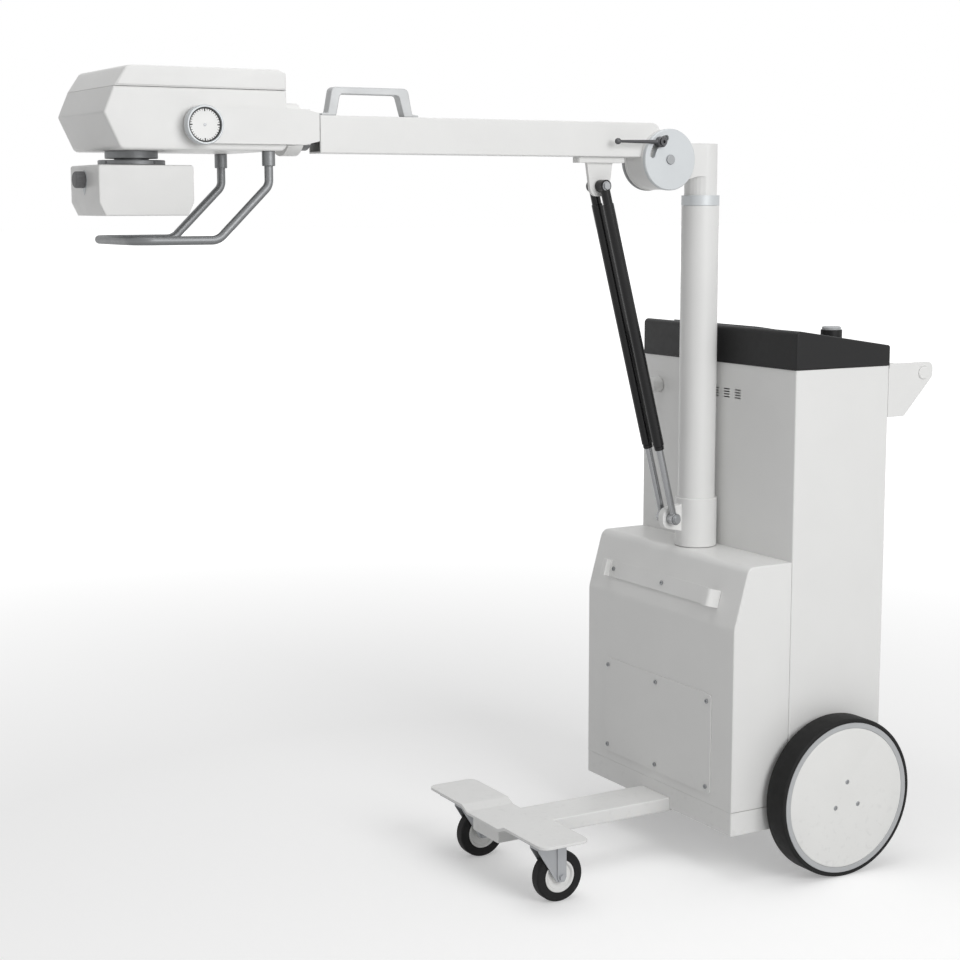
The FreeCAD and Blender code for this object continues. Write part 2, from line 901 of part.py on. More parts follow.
draw_circle(drawing, button_x, button_y, button_cap + seat)
pocket(lid, drawing, button_well + 1)
keep("console_lid", lid)

# Stop button: mushroom cap on a sliding stem
button = turned_about_z("stop_button", button_x, button_y, [
    (0, button_top - 22),
    (button_stem, button_top - 22),
    (button_stem, button_top - button_well + button_travel + 0.5),
    (button_cap, button_top - button_well + button_travel + 0.5),
    (button_cap, button_top + button_travel + 2.5 - button_round),
    (button_cap - button_round, button_top + button_travel + 2.5),
    (0, button_top + button_travel + 2.5),
])
keep("stop_button", button)

# Console plate let on the sloped top, drawn flat and tilted with the lid
plate = new_body("console_plate")
drawing = place_sketch(plate, "XY_Plane", 0)
draw_box(drawing, console_side - console_half, console_front, console_side + console_half,
         console_front + console_depth, console_corner)
pad(plate, drawing, console_thickness)
drawing = place_sketch(plate, "XY_Plane", 3)
for column in range(6):
    for row in range(2):
        left = console_side - key_pitch * 3 + key_pitch * column + (key_pitch - key_size) / 2
        low = console_front + console_depth - key_pitch * (2 - row)
        draw_box(drawing, left, low, left + key_size, low + key_size)
pad(plate, drawing, key_height)
drawing = place_sketch(plate, "XY_Plane", 3)
draw_box(drawing, console_side - 90, console_front + 14, console_side + 90, console_front + 80)
pocket(plate, drawing, display_recess)
plate_lift = seat / cosine(lid_slope)
stand_at(plate, 0, seam_y - lid_overhang, cabinet_top + lid_front_height + plate_lift, -lid_slope)
keep("console_plate", plate)

# Handle side plates and the push handle tube
plates = []
for side, tag in ((1, "left"), (-1, "right")):
    bracket = new_body("handle_plate_" + tag)
    drawing = place_sketch(bracket, "YZ_Plane", (half_width - 1) * side)
    nose = derived("handle_nose_" + tag, handle_y + handle_end)
    draw_loop(drawing, [
        (rear_y + lid_overhang + seat, handle_foot),
        (rear_y + handle_low, handle_foot),
        (nose, handle_z - 8),
        (nose, handle_z + 22),
        (rear_y + lid_overhang + seat, handle_z + 22),
    ], {1: 8.0, 2: 16.0, 3: 14.0})
    draw_circle(drawing, handle_y, handle_z, handle_radius + seat)
    pad(bracket, drawing, handle_plate, backwards=side > 0)
    drawing = place_sketch(bracket, "XZ_Plane", -(rear_y + seat))
    inner = (half_width - 40) * side
    outer = (half_width - 1) * side
    low_x, high_x = (inner, outer) if side > 0 else (outer, inner)
    draw_box(drawing, low_x, handle_foot, high_x, cabinet_top - 6)
    pad(bracket, drawing, handle_plate, backwards=True)
    plates.append(bracket)
keep("handle_plates", group("handle_plates", plates))
grip_half = derived("handle_half_length", half_width + 2)
grip = turned_about_x("push_handle", 0, handle_y, handle_z, [
    (-grip_half, 0), (grip_half, 0), (grip_half, handle_radius - 1.5), (grip_half - 1.5, handle_radius),
    (1.5 - grip_half, handle_radius), (-grip_half, handle_radius - 1.5),
])
keep("push_handle", grip)

# Base bar and the joggled front plate
bar = new_body("base_bar")
drawing = place_sketch(bar, "XZ_Plane", -(front_y + bar_tail))
draw_box(drawing, -bar_half_width, bar_bottom, bar_half_width, bar_top, bar_corner)
pad(bar, drawing, bar_tail + bar_ahead)
drawing = place_sketch(bar, "XZ_Plane", -(front_y + bar_tail))
draw_box(drawing, bar_wall - bar_half_width, bar_bottom + bar_wall, bar_half_width - bar_wall, bar_top - bar_wall)
pocket(bar, drawing, bar_tail + bar_ahead - bar_wall, backwards=True)
keep("base_bar", bar)

wing = new_body("front_plate")
drawing = place_sketch(wing, "XZ_Plane", -(front_y - wing_rear))
plate_low = derived("front_plate_foot", bar_top + seat)
draw_loop(drawing, [
    (-wing_half_span, wing_height - wing_thickness),
    (-wing_inner - 2, wing_height - wing_thickness),
    (-wing_inner + joggle - 2, plate_low),
    (wing_inner - joggle + 2, plate_low),
    (wing_inner + 2, wing_height - wing_thickness),
    (wing_half_span, wing_height - wing_thickness),
    (wing_half_span, wing_height),
    (wing_inner, wing_height),
    (wing_inner - joggle, plate_low + wing_thickness),
    (joggle - wing_inner, plate_low + wing_thickness),
    (-wing_inner, wing_height),
    (-wing_half_span, wing_height),
], {1: 6.0, 4: 6.0, 7: 8.0, 8: 6.0, 9: 6.0, 10: 8.0})
pad(wing, drawing, wing_front - wing_rear)


def wing_corner(edge):
    return abs(edge.tangentAt(edge.FirstParameter).z) > 0.999 and abs(abs(edge.CenterOfMass.x) - wing_half_span.value) < 0.5


round_edges(wing, wing_corner, wing_corner_radius)
keep("front_plate", wing)

# Casters: top plate with ball race, swivelling fork, tyre and hub
plate_bottom = derived("caster_plate_bottom", wing_height - wing_thickness - seat - 3)
race_bottom = derived("caster_race_bottom", plate_bottom - 7)
fork_top = derived("caster_fork_top", race_bottom - seat)
leg_top = derived("caster_leg_top", fork_top - 4)
caster_plates = []
wheel_axis_y = derived("caster_wheel_position", caster_y + caster_trail)
for side, tag in ((1, "left"), (-1, "right")):
    x = derived("caster_side_" + tag, caster_offset * side)
    top = new_body("caster_plate_" + tag)
    drawing = place_sketch(top, "XY_Plane", plate_bottom)
    draw_box(drawing, x - caster_plate_half_width, caster_y - caster_plate_half_length,
             x + caster_plate_half_width, caster_y + caster_plate_half_length, 6.0)
    draw_circle(drawing, x, caster_y, king_radius + running)
    pad(top, drawing, 3)
    drawing = place_sketch(top, "XY_Plane", race_bottom)
    draw_circle(drawing, x, caster_y, race_radius)
    draw_circle(drawing, x, caster_y, king_radius + running)
    pad(top, drawing, plate_bottom - race_bottom)
    caster_plates.append(top)

    fork = new_body("caster_fork_" + tag)
    fork_half = caster_half_width + leg_gap + leg_thickness
    drawing = place_sketch(fork, "YZ_Plane", x)
    draw_loop(drawing, [
        (caster_y - 20, leg_top),
        (caster_y - 20, leg_top - 11),
        (wheel_axis_y - 10, caster_radius - 9),
        (wheel_axis_y + 10, caster_radius - 9),
        (wheel_axis_y + 11, leg_top - 8),
        (caster_y + 22, leg_top),
    ], {2: 6.0, 3: 6.0})
    pad(fork, drawing, fork_half * 2, both_ways=True)
    drawing = place_sketch(fork, "YZ_Plane", x)
    draw_box(drawing, caster_y - 40, -5, caster_y + 80, leg_top - 9)
    pocket(fork, drawing, (caster_half_width + leg_gap) * 2, both_ways=True)
    for leg in (1, -1):
        drawing = place_sketch(fork, "YZ_Plane", x + (fork_half - 1) * leg)
        draw_loop(drawing, [
            (wheel_axis_y - strap_half, caster_radius), (wheel_axis_y - strap_half, leg_top - 4),
            (wheel_axis_y + strap_half, leg_top - 4), (wheel_axis_y + strap_half, caster_radius),
            (wheel_axis_y + strap_half - 4, caster_radius - 9), (wheel_axis_y - strap_half + 4, caster_radius - 9),
        ])
        pad(fork, drawing, strap_height + 1, backwards=leg < 0)
    drawing = place_sketch(fork, "XY_Plane", leg_top - 1)
    draw_circle(drawing, x, caster_y, race_radius - 1)
    pad(fork, drawing, 5)
    drawing = place_sketch(fork, "XY_Plane", leg_top - 3)
    draw_circle(drawing, x, caster_y, king_radius)
    pad(fork, drawing, wing_height - wing_thickness - leg_top + 2)
    drawing = place_sketch(fork, "YZ_Plane", x)
    draw_circle(drawing, wheel_axis_y, caster_radius, caster_axle)
    pad(fork, drawing, (fork_half + strap_height) * 2, both_ways=True)
    for leg in (1, -1):
        drawing = place_sketch(fork, "YZ_Plane", x + (fork_half + strap_height - 1) * leg)
        draw_hexagon(drawing, wheel_axis_y, caster_radius, axle_nut_radius)
        pad(fork, drawing, axle_nut_height + 1, backwards=leg < 0)
    keep("caster_fork_" + tag, fork)

    tread = caster_half_width
    tyre = turned_about_x("caster_tyre_" + tag, x, wheel_axis_y, caster_radius, [
        (-tread + 1, hub_edge + seat), (tread - 1, hub_edge + seat), (tread, hub_edge + 4),
        (tread, caster_radius - 4), (tread - 4, caster_radius), (4 - tread, caster_radius), (-tread, caster_radius - 4),
        (-tread, hub_edge + 4),
    ])
    keep("caster_tyre_" + tag, tyre)
    hub = turned_about_x("caster_hub_" + tag, x, wheel_axis_y, caster_radius, [
        (-tread - 0.5, caster_axle + running), (tread + 0.5, caster_axle + running), (tread + 0.5, 11),
        (tread - 5, 14), (tread - 5, hub_edge - 7), (tread - 1, hub_edge - 4), (tread - 1, hub_edge),
        (-tread + 1, hub_edge), (-tread + 1, hub_edge - 4), (-tread + 5, hub_edge - 7), (-tread + 5, 14),
        (-tread - 0.5, 11),
    ])
    keep("caster_hub_" + tag, hub)
keep("caster_plates", group("caster_plates", caster_plates))

# Rear axle and the two large wheels
axle_half = derived("rear_axle_half_length", wheel_face + wheel_width - 8)
axle = turned_about_x("rear_axle", 0, wheel_y, wheel_radius, [
    (-axle_half, 0), (axle_half, 0), (axle_half, axle_radius - 1.5), (axle_half - 1.5, axle_radius),
    (1.5 - axle_half, axle_radius), (-axle_half, axle_radius - 1.5),
])
keep("rear_axle", axle)
for side, tag in ((1, "left"), (-1, "right")):
    x = derived("wheel_side_" + tag, wheel_face * side)
    width = wheel_width * side
    lip = 7 * side
    tyre = turned_about_x("rear_tyre_" + tag, x, wheel_y, wheel_radius, [
        (0, rim_seat + seat), (0, wheel_radius - 4), (1.5 * side, wheel_radius - 1), (5 * side, wheel_radius),
        (width - 5 * side, wheel_radius), (width - 1.5 * side, wheel_radius - 1), (width, wheel_radius - 4),
        (width, rim_edge + seat),
        (width - lip - seat * side, rim_edge + seat), (width - lip - seat * side, rim_seat + seat),
    ])
    keep("rear_tyre_" + tag, tyre)
    hub_start = -6 * side
    rim = turned_about_x("rear_rim_" + tag, x, wheel_y, wheel_radius, [
        (hub_start, axle_radius + running), (hub_start, 24), (20 * side, 28), (20 * side, rim_seat - 8),
        (0, rim_seat - 4), (0, rim_seat), (width - lip, rim_seat), (width - lip, rim_edge), (width, rim_edge),
        (width, cap_radius + seat), (width - 5 * side, cap_radius + seat), (width - 5 * side, rim_seat - 8),
        (28 * side, rim_seat - 14), (28 * side, 30), (width - 10 * side, 26), (width - 10 * side, axle_radius + running),
    ])
    keep("rear_rim_" + tag, rim)
    cap = turned_about_x("rear_cap_" + tag, x, wheel_y, wheel_radius, [
        (width - 4.7 * side, 0), (width - 4.7 * side, cap_radius), (width - 0.5 * side, cap_radius),
        (width + 0.5 * side, cap_radius - 3), (width + 0.5 * side, 0),
    ])
    drawing = place_sketch(cap, "YZ_Plane", width + 1 * side)
    for turn in (90.0, 210.0, 330.0):
        angle = Size(turn, "%r deg" % turn)
        draw_circle(drawing, cap_hole_pitch * cosine(angle), cap_hole_pitch * sine(angle), cap_hole_radius)
    pocket(cap, drawing, 3, backwards=side < 0)
    keep("rear_cap_" + tag, cap)


def turned_about_y(label, x, z, points, rounds=None):
    """Solid of revolution about a lengthways axis at (x, z)."""
    body = new_body(label)
    drawing = place_sketch(body, "YZ_Plane", 0)
    draw_loop(drawing, points, rounds)
    revolve(body, drawing, "H_Axis")
    stand_at(body, x, 0, z)
    return body


# Fixed column post on the base bar
bushing_top = derived("post_bushing_top", post_top + 10)
post = turned_about_z("column_post", 0, column_y, [
    (0, bar_top + seat), (48, bar_top + seat), (48, bar_top + 9), (post_radius + 4, bar_top + 12),
    (post_radius, bar_top + 18), (post_radius, shoulder_top - 40), (shoulder_radius, shoulder_top - 36),
    (shoulder_radius, shoulder_top), (post_radius, shoulder_top), (post_radius, post_top), (0, post_top),
])
keep("column_post", post)

# High voltage generator bolted across the axle blocks
generator = new_body("generator_unit")
drawing = place_sketch(generator, "XY_Plane", block_top + seat)
draw_box(drawing, -block_outer, wheel_y - block_half_length, block_outer, wheel_y + block_half_length)
pad(generator, drawing, 6)
drawing = place_sketch(generator, "XY_Plane", block_top + 5)
draw_box(drawing, -generator_half, seam_y + 14, generator_half, rear_y - 22, generator_corner)
pad(generator, drawing, generator_top - block_top)
drawing = place_sketch(generator, "XY_Plane", generator_top)
for side in (-1, 1):
    draw_circle(drawing, side * 70, wheel_y, 24)
pad(generator, drawing, 45)
keep("generator_unit", generator)

# Turning column tube, collar with the lower spring lug, and bright ring
tube_foot = derived("column_tube_foot", shoulder_top + seat)
tube = turned_about_z("column_tube", 0, column_y, [
    (post_radius + running, tube_foot), (column_radius, tube_foot), (column_radius, column_top),
    (head_post_radius + seat, column_top), (head_post_radius + seat, bushing_top),
    (post_radius + running, bushing_top),
])
keep("column_tube", tube)
collar_radius = derived("collar_radius", column_radius + collar_wall)
collar = turned_about_z("column_collar", 0, column_y, [
    (column_radius + seat, cover_top + 1), (collar_radius - 1, cover_top + 1), (collar_radius, cover_top + 2),
    (collar_radius, collar_top - 1), (collar_radius - 1, collar_top), (column_radius + seat, collar_top),
])
drawing = place_sketch(collar, "YZ_Plane", 0)
draw_loop(drawing, [
    (-column_radius - 1, lower_z - lug_round - 10), (-column_radius - 1, lower_z + lug_round + 8),
    (lower_y - column_y - lug_round, lower_z + lug_round),
    (lower_y - column_y - lug_round, lower_z - lug_round),
], {2: lug_round - 1, 3: lug_round - 1})
draw_circle(drawing, lower_y - column_y, lower_z, pin_radius + seat)
pad(collar, drawing, collar_lug * 2, both_ways=True)
keep("column_collar", collar)
keep("column_ring", turned_about_z("column_ring", 0, column_y, [
    (head_post_radius + seat, column_top + seat), (column_radius + 0.4, column_top + seat),
    (column_radius + 0.4, column_top + ring_height), (head_post_radius + seat, column_top + ring_height),
]))

# Swivel head: post, block and two round ears about the arm pivot
swivel = new_body("swivel_head_body")
drawing = place_sketch(swivel, "XY_Plane", column_top - 56)
draw_circle(drawing, 0, column_y, head_post_radius)
pad(swivel, drawing, head_block_top - column_top + 56)
drawing = place_sketch(swivel, "YZ_Plane", 0)
draw_loop(drawing, [
    (pivot_y, head_block_bottom - 20), (column_y - 30, head_block_bottom), (column_y, head_block_bottom),
    (column_y, head_block_top), (pivot_y, head_block_top),
])
pad(swivel, drawing, ear_face * 2, both_ways=True)
drawing = place_sketch(swivel, "YZ_Plane", 0)
draw_circle(drawing, pivot_y, pivot_z, ear_radius)
pad(swivel, drawing, ear_face * 2, both_ways=True)
drawing = place_sketch(swivel, "YZ_Plane", 0)
draw_circle(drawing, pivot_y, pivot_z, drum_radius + 1.2)
pocket(swivel, drawing, (drum_half_width + seat) * 2, both_ways=True)
drawing = place_sketch(swivel, "YZ_Plane", 0)
draw_circle(drawing, pivot_y, pivot_z, pivot_radius + running)
pocket(swivel, drawing, ear_face * 2 + 2, both_ways=True)


def arc_slot(label):
    """Curved slot about the arm pivot that lets the clamp bolt swing with the arm."""
    outer = doc.addObject("Part::Cylinder", label + "_outer")
    outer.Placement = Placement(Vector(60, 0, 0), Rotation(Vector(0, -1, 0), Vector(0, 0, 1), Vector(-1, 0, 0), "ZXY"))
    bind(outer, "Radius", slot_radius + slot_half_width)
    bind(outer, "Angle", slot_up + slot_down)
    outer.Height = 45
    inner = rod_along(label + "_inner", "X", (10, 0, 0), slot_radius - slot_half_width, 55)
    low = rod_along(label + "_low", "X", (15, -slot_radius, 0), slot_half_width, 45)
    sweep = slot_up + slot_down
    high = rod_along(label + "_high", "X", (15, -slot_radius * cosine(sweep), slot_radius * sine(sweep)), slot_half_width, 45)
    shape = fuse(label, [cut(label + "_sector", outer, inner), low, high])
    stand_at(shape, 0, pivot_y, pivot_z, -1 * (clamp_angle - slot_down))
    return shape


keep("swivel_head", cut("swivel_head", swivel, arc_slot("ear_slot")))
near = turned_about_x("near_disc_blank", 0, pivot_y, pivot_z, [
    (disc_face, pivot_radius + running), (disc_face + disc_thickness, pivot_radius + running),
    (disc_face + disc_thickness, disc_radius - disc_edge), (disc_face + disc_thickness - disc_edge, disc_radius),
    (disc_face + disc_edge, disc_radius), (disc_face, disc_radius - disc_edge),
])
keep("slotted_disc", cut("slotted_disc", near, arc_slot("disc_slot")))
keep("far_disc", turned_about_x("far_disc", 0, pivot_y, pivot_z, [
    (-disc_face, pivot_radius + running), (-disc_face - disc_thickness, pivot_radius + running),
    (-disc_face - disc_thickness, disc_radius - disc_edge), (-disc_face - disc_thickness + disc_edge, disc_radius),
    (-disc_face - disc_edge, disc_radius), (-disc_face, disc_radius - disc_edge),
]))
nut = derived("pivot_nut_face", disc_face + disc_thickness + seat)
pivot_bolt = turned_about_x("pivot_bolt", 0, pivot_y, pivot_z, [
    (-nut - 3, 0), (nut + 3, 0), (nut + 3, 8.6), (nut + 2, 9.6), (nut, 9.6), (nut, pivot_radius),
    (-nut, pivot_radius), (-nut, 9.6), (-nut - 2, 9.6), (-nut - 3, 8.6),
])
foot_bolt = turned_about_x("foot_bolt", 0, lower_y, lower_z, [
    (-eye_outer - 5.5, 0), (eye_outer + 5.5, 0), (eye_outer + 5.5, 7.6), (eye_outer + 1.5, 7.6), (eye_outer + 1.5, 10),
    (eye_outer + seat, 10), (eye_outer + seat, pin_radius), (-eye_outer - seat, pin_radius),
    (-eye_outer - seat, 10), (-eye_outer - 1.5, 10), (-eye_outer - 1.5, 7.6), (-eye_outer - 5.5, 7.6),
])
keep("column_bolts", group("column_bolts", [pivot_bolt, foot_bolt]))

# Arm tube with the solid drum that turns between the ears
arm = new_body("arm_tube")
arm_half_width = drum_half_width
arm_rear_y = derived("arm_rear_position", pivot_y - arm_tail)
drawing = place_sketch(arm, "YZ_Plane", 0)
draw_loop(drawing, [
    (arm_front_y, arm_bottom), (arm_rear_y, arm_bottom), (arm_rear_y, arm_top), (arm_front_y, arm_top),
], {2: arm_rear_round})
pad(arm, drawing, arm_half_width * 2, both_ways=True)
round_faces(arm, faces_along(SIDEWAYS), arm_edge_round)
drawing = place_sketch(arm, "XZ_Plane", -(arm_front_y - 1))
draw_box(drawing, arm_wall - arm_half_width, arm_bottom + arm_wall, arm_half_width - arm_wall, arm_top - arm_wall)
pocket(arm, drawing, arm_length - 75)
drawing = place_sketch(arm, "YZ_Plane", 0)
draw_circle(drawing, pivot_y, pivot_z, drum_radius)
pad(arm, drawing, drum_half_width * 2, both_ways=True)
drawing = place_sketch(arm, "YZ_Plane", 0)
draw_circle(drawing, pivot_y, pivot_z, pivot_radius + running)
draw_circle(drawing, clamp_y, clamp_z, clamp_radius + running)
pocket(arm, drawing, drum_half_width * 2 + 2, both_ways=True)
keep("arm_tube", arm)

# Bracket under the arm that the springs push on
bracket = new_body("strut_bracket")
drawing = place_sketch(bracket, "XY_Plane", arm_bottom - seat)
draw_box(drawing, -13, upper_y - bracket_half, 13, upper_y + bracket_half, 5.0)
pad(bracket, drawing, bracket_depth, backwards=True)
drawing = place_sketch(bracket, "YZ_Plane", 0)
lug_top = arm_bottom - seat - bracket_depth + 1
draw_loop(drawing, [
    (upper_y - bracket_lug - 10, lug_top), (upper_y - bracket_lug, upper_z - bracket_lug),
    (upper_y + bracket_lug, upper_z - bracket_lug), (upper_y + bracket_lug + 10, lug_top),
], {1: bracket_lug - 3, 2: bracket_lug - 3})
draw_circle(drawing, upper_y, upper_z, pin_radius + running)
pad(bracket, drawing, lug_half * 2, both_ways=True)
keep("strut_bracket", bracket)

# Carrying handle over the front end of the arm
carry_foot = derived("carry_handle_foot", arm_top + seat)
carry_front = derived("carry_handle_front", arm_front_y + 9)
carry = new_body("carry_handle")
drawing = place_sketch(carry, "YZ_Plane", 0)
draw_loop(drawing, [
    (carry_front, carry_foot), (carry_front, carry_foot + 4), (carry_front + 13, carry_foot + 5),
    (carry_front + 22, arm_top + loop_rise), (carry_front + 175, arm_top + loop_rise),
    (carry_front + 184, carry_foot + 5), (carry_front + 197, carry_foot + 4), (carry_front + 197, carry_foot),
    (carry_front + 167, carry_foot), (carry_front + 156, arm_top + loop_rise - 13),
    (carry_front + 38, arm_top + loop_rise - 13), (carry_front + 30, carry_foot),
], {3: 10.0, 4: 10.0, 9: 7.0, 10: 7.0})
pad(carry, drawing, carry_handle_width, both_ways=True)
keep("carry_handle", carry)

# Arm end flange and the clamp that locks the arm
flange_back = derived("arm_flange_back", arm_front_y - seat)
keep("arm_flange", turned_about_y("arm_flange", 0, roll_z, [
    (flange_y, spindle_radius + running), (flange_y, flange_radius - 1), (flange_y + 1, flange_radius),
    (flange_y + flange_depth - 1, flange_radius), (flange_y + flange_depth, flange_radius - 1),
    (flange_y + flange_depth, 24), (flange_back, 24), (flange_back, spindle_radius + running),
]))
lever_face = derived("clamp_lever_face", disc_face + disc_thickness + seat)
clamp_bolt = turned_about_x("clamp_bolt", 0, clamp_y, clamp_z, [
    (6, 0), (lever_face + 16, 0), (lever_face + 16, clamp_radius + 2), (lever_face + 12 + seat, clamp_radius + 2),
    (lever_face + 12 + seat, clamp_radius), (6, clamp_radius),
])
drawing = place_sketch(clamp_bolt, "YZ_Plane", lever_face + 17)
draw_hexagon(drawing, 0, 0, 3.5)
pocket(clamp_bolt, drawing, 6)
keep("clamp_bolt", clamp_bolt)
lever = turned_about_x("clamp_lever_boss", 0, clamp_y, clamp_z, [
    (lever_face, clamp_radius + running), (lever_face + 12, clamp_radius + running), (lever_face + 12, 9),
    (lever_face + 10, 10.5), (lever_face, 10.5),
])
lever_arm = turned_about_y("clamp_lever_arm", lever_face + 6, clamp_z, [
    (clamp_y - lever_length, 0), (clamp_y - 7, 0), (clamp_y - 7, 3.9), (clamp_y - lever_length, 2.6),
])
ball_y = clamp_y - lever_length
ball = turned_about_y("clamp_lever_ball", lever_face + 6, clamp_z, [
    (ball_y - 6, 0), (ball_y - 6, 2), (ball_y - 4.4, 4.6), (ball_y - 1.8, 6), (ball_y + 1.8, 6),
    (ball_y + 4.4, 4.6), (ball_y + 6, 2), (ball_y + 6, 0),
])
keep("clamp_lever", fuse("clamp_lever", [lever, lever_arm, ball]))

# Two gas springs side by side, each a rod on the collar and a cylinder under the arm
for side, tag in ((1, "left"), (-1, "right")):
    rod = new_body("strut_rod_" + tag)
    drawing = place_sketch(rod, "XZ_Plane", 0)
    draw_loop(drawing, [(0, 8), (rod_radius, 8), (rod_radius, rod_length), (0, rod_length)])
    revolve(rod, drawing, "V_Axis")
    inner = (collar_lug + seat - spring_offset) * side
    outer = (eye_outer - spring_offset) * side
    drawing = place_sketch(rod, "YZ_Plane", inner if side > 0 else outer)
    draw_circle(drawing, 0, 0, eye_radius)
    pad(rod, drawing, eye_outer - collar_lug - seat)
    drawing = place_sketch(rod, "YZ_Plane", 0)
    draw_circle(drawing, 0, 0, pin_radius + running)
    pocket(rod, drawing, 60, both_ways=True)
    stand_at(rod, spring_offset * side, lower_y, lower_z, spring_tilt)
    keep("strut_rod_" + tag, rod)

    case = new_body("strut_cylinder_" + tag)
    drawing = place_sketch(case, "XZ_Plane", 0)
    bore_end = rod_shown + 265
    draw_loop(drawing, [
        (rod_radius + running, rod_shown), (spring_radius - 1, rod_shown), (spring_radius, rod_shown + 2),
        (spring_radius, spring_length - 19), (spring_radius - 2, spring_length - 17), (6, spring_length - 17),
        (6, spring_length - 3), (0, spring_length - 3), (0, bore_end), (rod_radius + running, bore_end),
    ])
    revolve(case, drawing, "V_Axis")
    inner = (lug_half + seat - spring_offset) * side
    drawing = place_sketch(case, "YZ_Plane", inner if side > 0 else outer)
    draw_circle(drawing, 0, spring_length, eye_radius)
    pad(case, drawing, eye_outer - lug_half - seat)
    drawing = place_sketch(case, "YZ_Plane", outer if side > 0 else outer - 5)
    draw_circle(drawing, 0, spring_length, 8)
    pad(case, drawing, 5)
    stand_at(case, spring_offset * side, lower_y, lower_z, spring_tilt)
    keep("strut_cylinder_" + tag, case)

# Yoke: hub and spindle in the arm flange, bridge and two side plates
yoke = new_body("yoke")
drawing = place_sketch(yoke, "XZ_Plane", -(bridge_y + bridge_depth))
draw_box(drawing, -plate_outer, roll_z - yoke_half_height, plate_outer, roll_z + yoke_half_height, 6.0)
pad(yoke, drawing, bridge_depth)
for side in (1, -1):
    drawing = place_sketch(yoke, "YZ_Plane", plate_face * side)
    draw_loop(drawing, [
        (bridge_y + bridge_depth + 16, roll_z - yoke_half_height + 6),
        (bridge_y + bridge_depth + 16, roll_z + yoke_half_height - 6),
        (bridge_y, roll_z + yoke_half_height),
        (tilt_y - yoke_half_height, roll_z + yoke_half_height),
        (tilt_y - yoke_half_height, roll_z - yoke_half_height),
        (bridge_y, roll_z - yoke_half_height),
    ], {3: yoke_half_height - 1, 4: yoke_half_height - 1})
    pad(yoke, drawing, yoke_plate, backwards=side < 0)
drawing = place_sketch(yoke, "XZ_Plane", -(bridge_y + bridge_depth - 1))
draw_circle(drawing, 0, roll_z, hub_radius)
pad(yoke, drawing, hub_depth + 1, backwards=True)
drawing = place_sketch(yoke, "XZ_Plane", -(hub_y - 1))
draw_circle(drawing, 0, roll_z, spindle_radius)
pad(yoke, drawing, flange_depth, backwards=True)
drawing = place_sketch(yoke, "YZ_Plane", 0)
draw_circle(drawing, tilt_y, roll_z, trunnion_radius + running)
pocket(yoke, drawing, plate_outer * 2 + 2, both_ways=True)
keep("yoke", yoke)
ring_face = derived("dial_ring_back", plate_outer + seat)
dial_floor = derived("dial_floor", ring_face + 9)
keep("dial_ring", turned_about_x("dial_ring", 0, tilt_y, roll_z, [
    (ring_face, trunnion_radius + 2), (ring_face, dial_radius - 1), (ring_face + 1, dial_radius),
    (ring_face + dial_depth - 1, dial_radius), (ring_face + dial_depth, dial_radius - 1),
    (ring_face + dial_depth, dial_radius - 3.6), (dial_floor, dial_radius - 3.6), (dial_floor, trunnion_radius + 2),
]))
keep("dial_face", turned_about_x("dial_face", 0, tilt_y, roll_z, [
    (dial_floor + seat, 0), (dial_floor + seat, dial_radius - 4), (dial_floor + 3, dial_radius - 4),
    (dial_floor + 3, 6), (dial_floor + 4, 5.5), (dial_floor + 4, 0),
]))

# Tube head: lower shell, lid shell and the unit inside
lower = new_body("head_lower_shell")
drawing = place_sketch(lower, "YZ_Plane", 0)
draw_loop(drawing, [
    (nose_y, nose_height), (nose_y + nose_run, head_bottom), (head_rear_y, head_bottom),
    (head_rear_y, head_seam), (nose_y + nose_top_run, head_seam),
], {0: 6.0, 1: 12.0, 2: head_rear_round})
pad(lower, drawing, head_half_width * 2, both_ways=True)
round_faces(lower, faces_along(SIDEWAYS), head_edge_round)
drawing = place_sketch(lower, "YZ_Plane", 0)
draw_loop(drawing, [
    (nose_y + head_wall * 1.5, nose_height), (nose_y + nose_run + head_wall, head_bottom + head_wall),
    (head_rear_y - head_wall, head_bottom + head_wall), (head_rear_y - head_wall, head_seam + 8),
    (nose_y + nose_top_run + head_wall * 1.5, head_seam + 8),
])
pocket(lower, drawing, (head_half_width - head_wall) * 2, both_ways=True)
drawing = place_sketch(lower, "YZ_Plane", 0)
draw_circle(drawing, tilt_y, roll_z, trunnion_radius + 1)
pocket(lower, drawing, head_half_width * 2 + 2, both_ways=True)
drawing = place_sketch(lower, "XY_Plane", head_bottom + head_wall + 1)
draw_circle(drawing, 0, beam_y, 22)
pocket(lower, drawing, head_wall + 4)
keep("head_lower_shell", lower)
upper = new_body("head_upper_shell")
lid_edge = derived("head_lid_edge", head_seam + seat)
drawing = place_sketch(upper, "YZ_Plane", 0)
draw_loop(drawing, [
    (nose_y + nose_top_run, lid_edge), (head_rear_y, lid_edge), (head_rear_y, head_top - 6),
    (head_rear_y - 13, head_top), (nose_y + 42, head_top),
], {2: 4.0, 3: 8.0, 4: 14.0})
pad(upper, drawing, head_half_width * 2, both_ways=True)
round_faces(upper, faces_along(SIDEWAYS), head_lid_edge_round)
drawing = place_sketch(upper, "YZ_Plane", 0)
draw_loop(drawing, [
    (nose_y + nose_top_run + head_wall * 1.5, lid_edge - 6), (head_rear_y - head_wall, lid_edge - 6),
    (head_rear_y - head_wall, head_top - 9), (head_rear_y - 15, head_top - head_wall),
    (nose_y + 44, head_top - head_wall),
])
pocket(upper, drawing, (head_half_width - head_wall) * 2, both_ways=True)
keep("head_upper_shell", upper)
unit = new_body("tube_unit")
tank_foot = derived("tube_tank_foot", head_bottom + head_wall + seat)
drawing = place_sketch(unit, "XY_Plane", tank_foot)
draw_box(drawing, -tank_half, beam_y + 42.2, tank_half, head_rear_y - head_wall - 10, 8.0)
pad(unit, drawing, derived("tube_tank_height", head_seam - 6.5 - tank_foot))
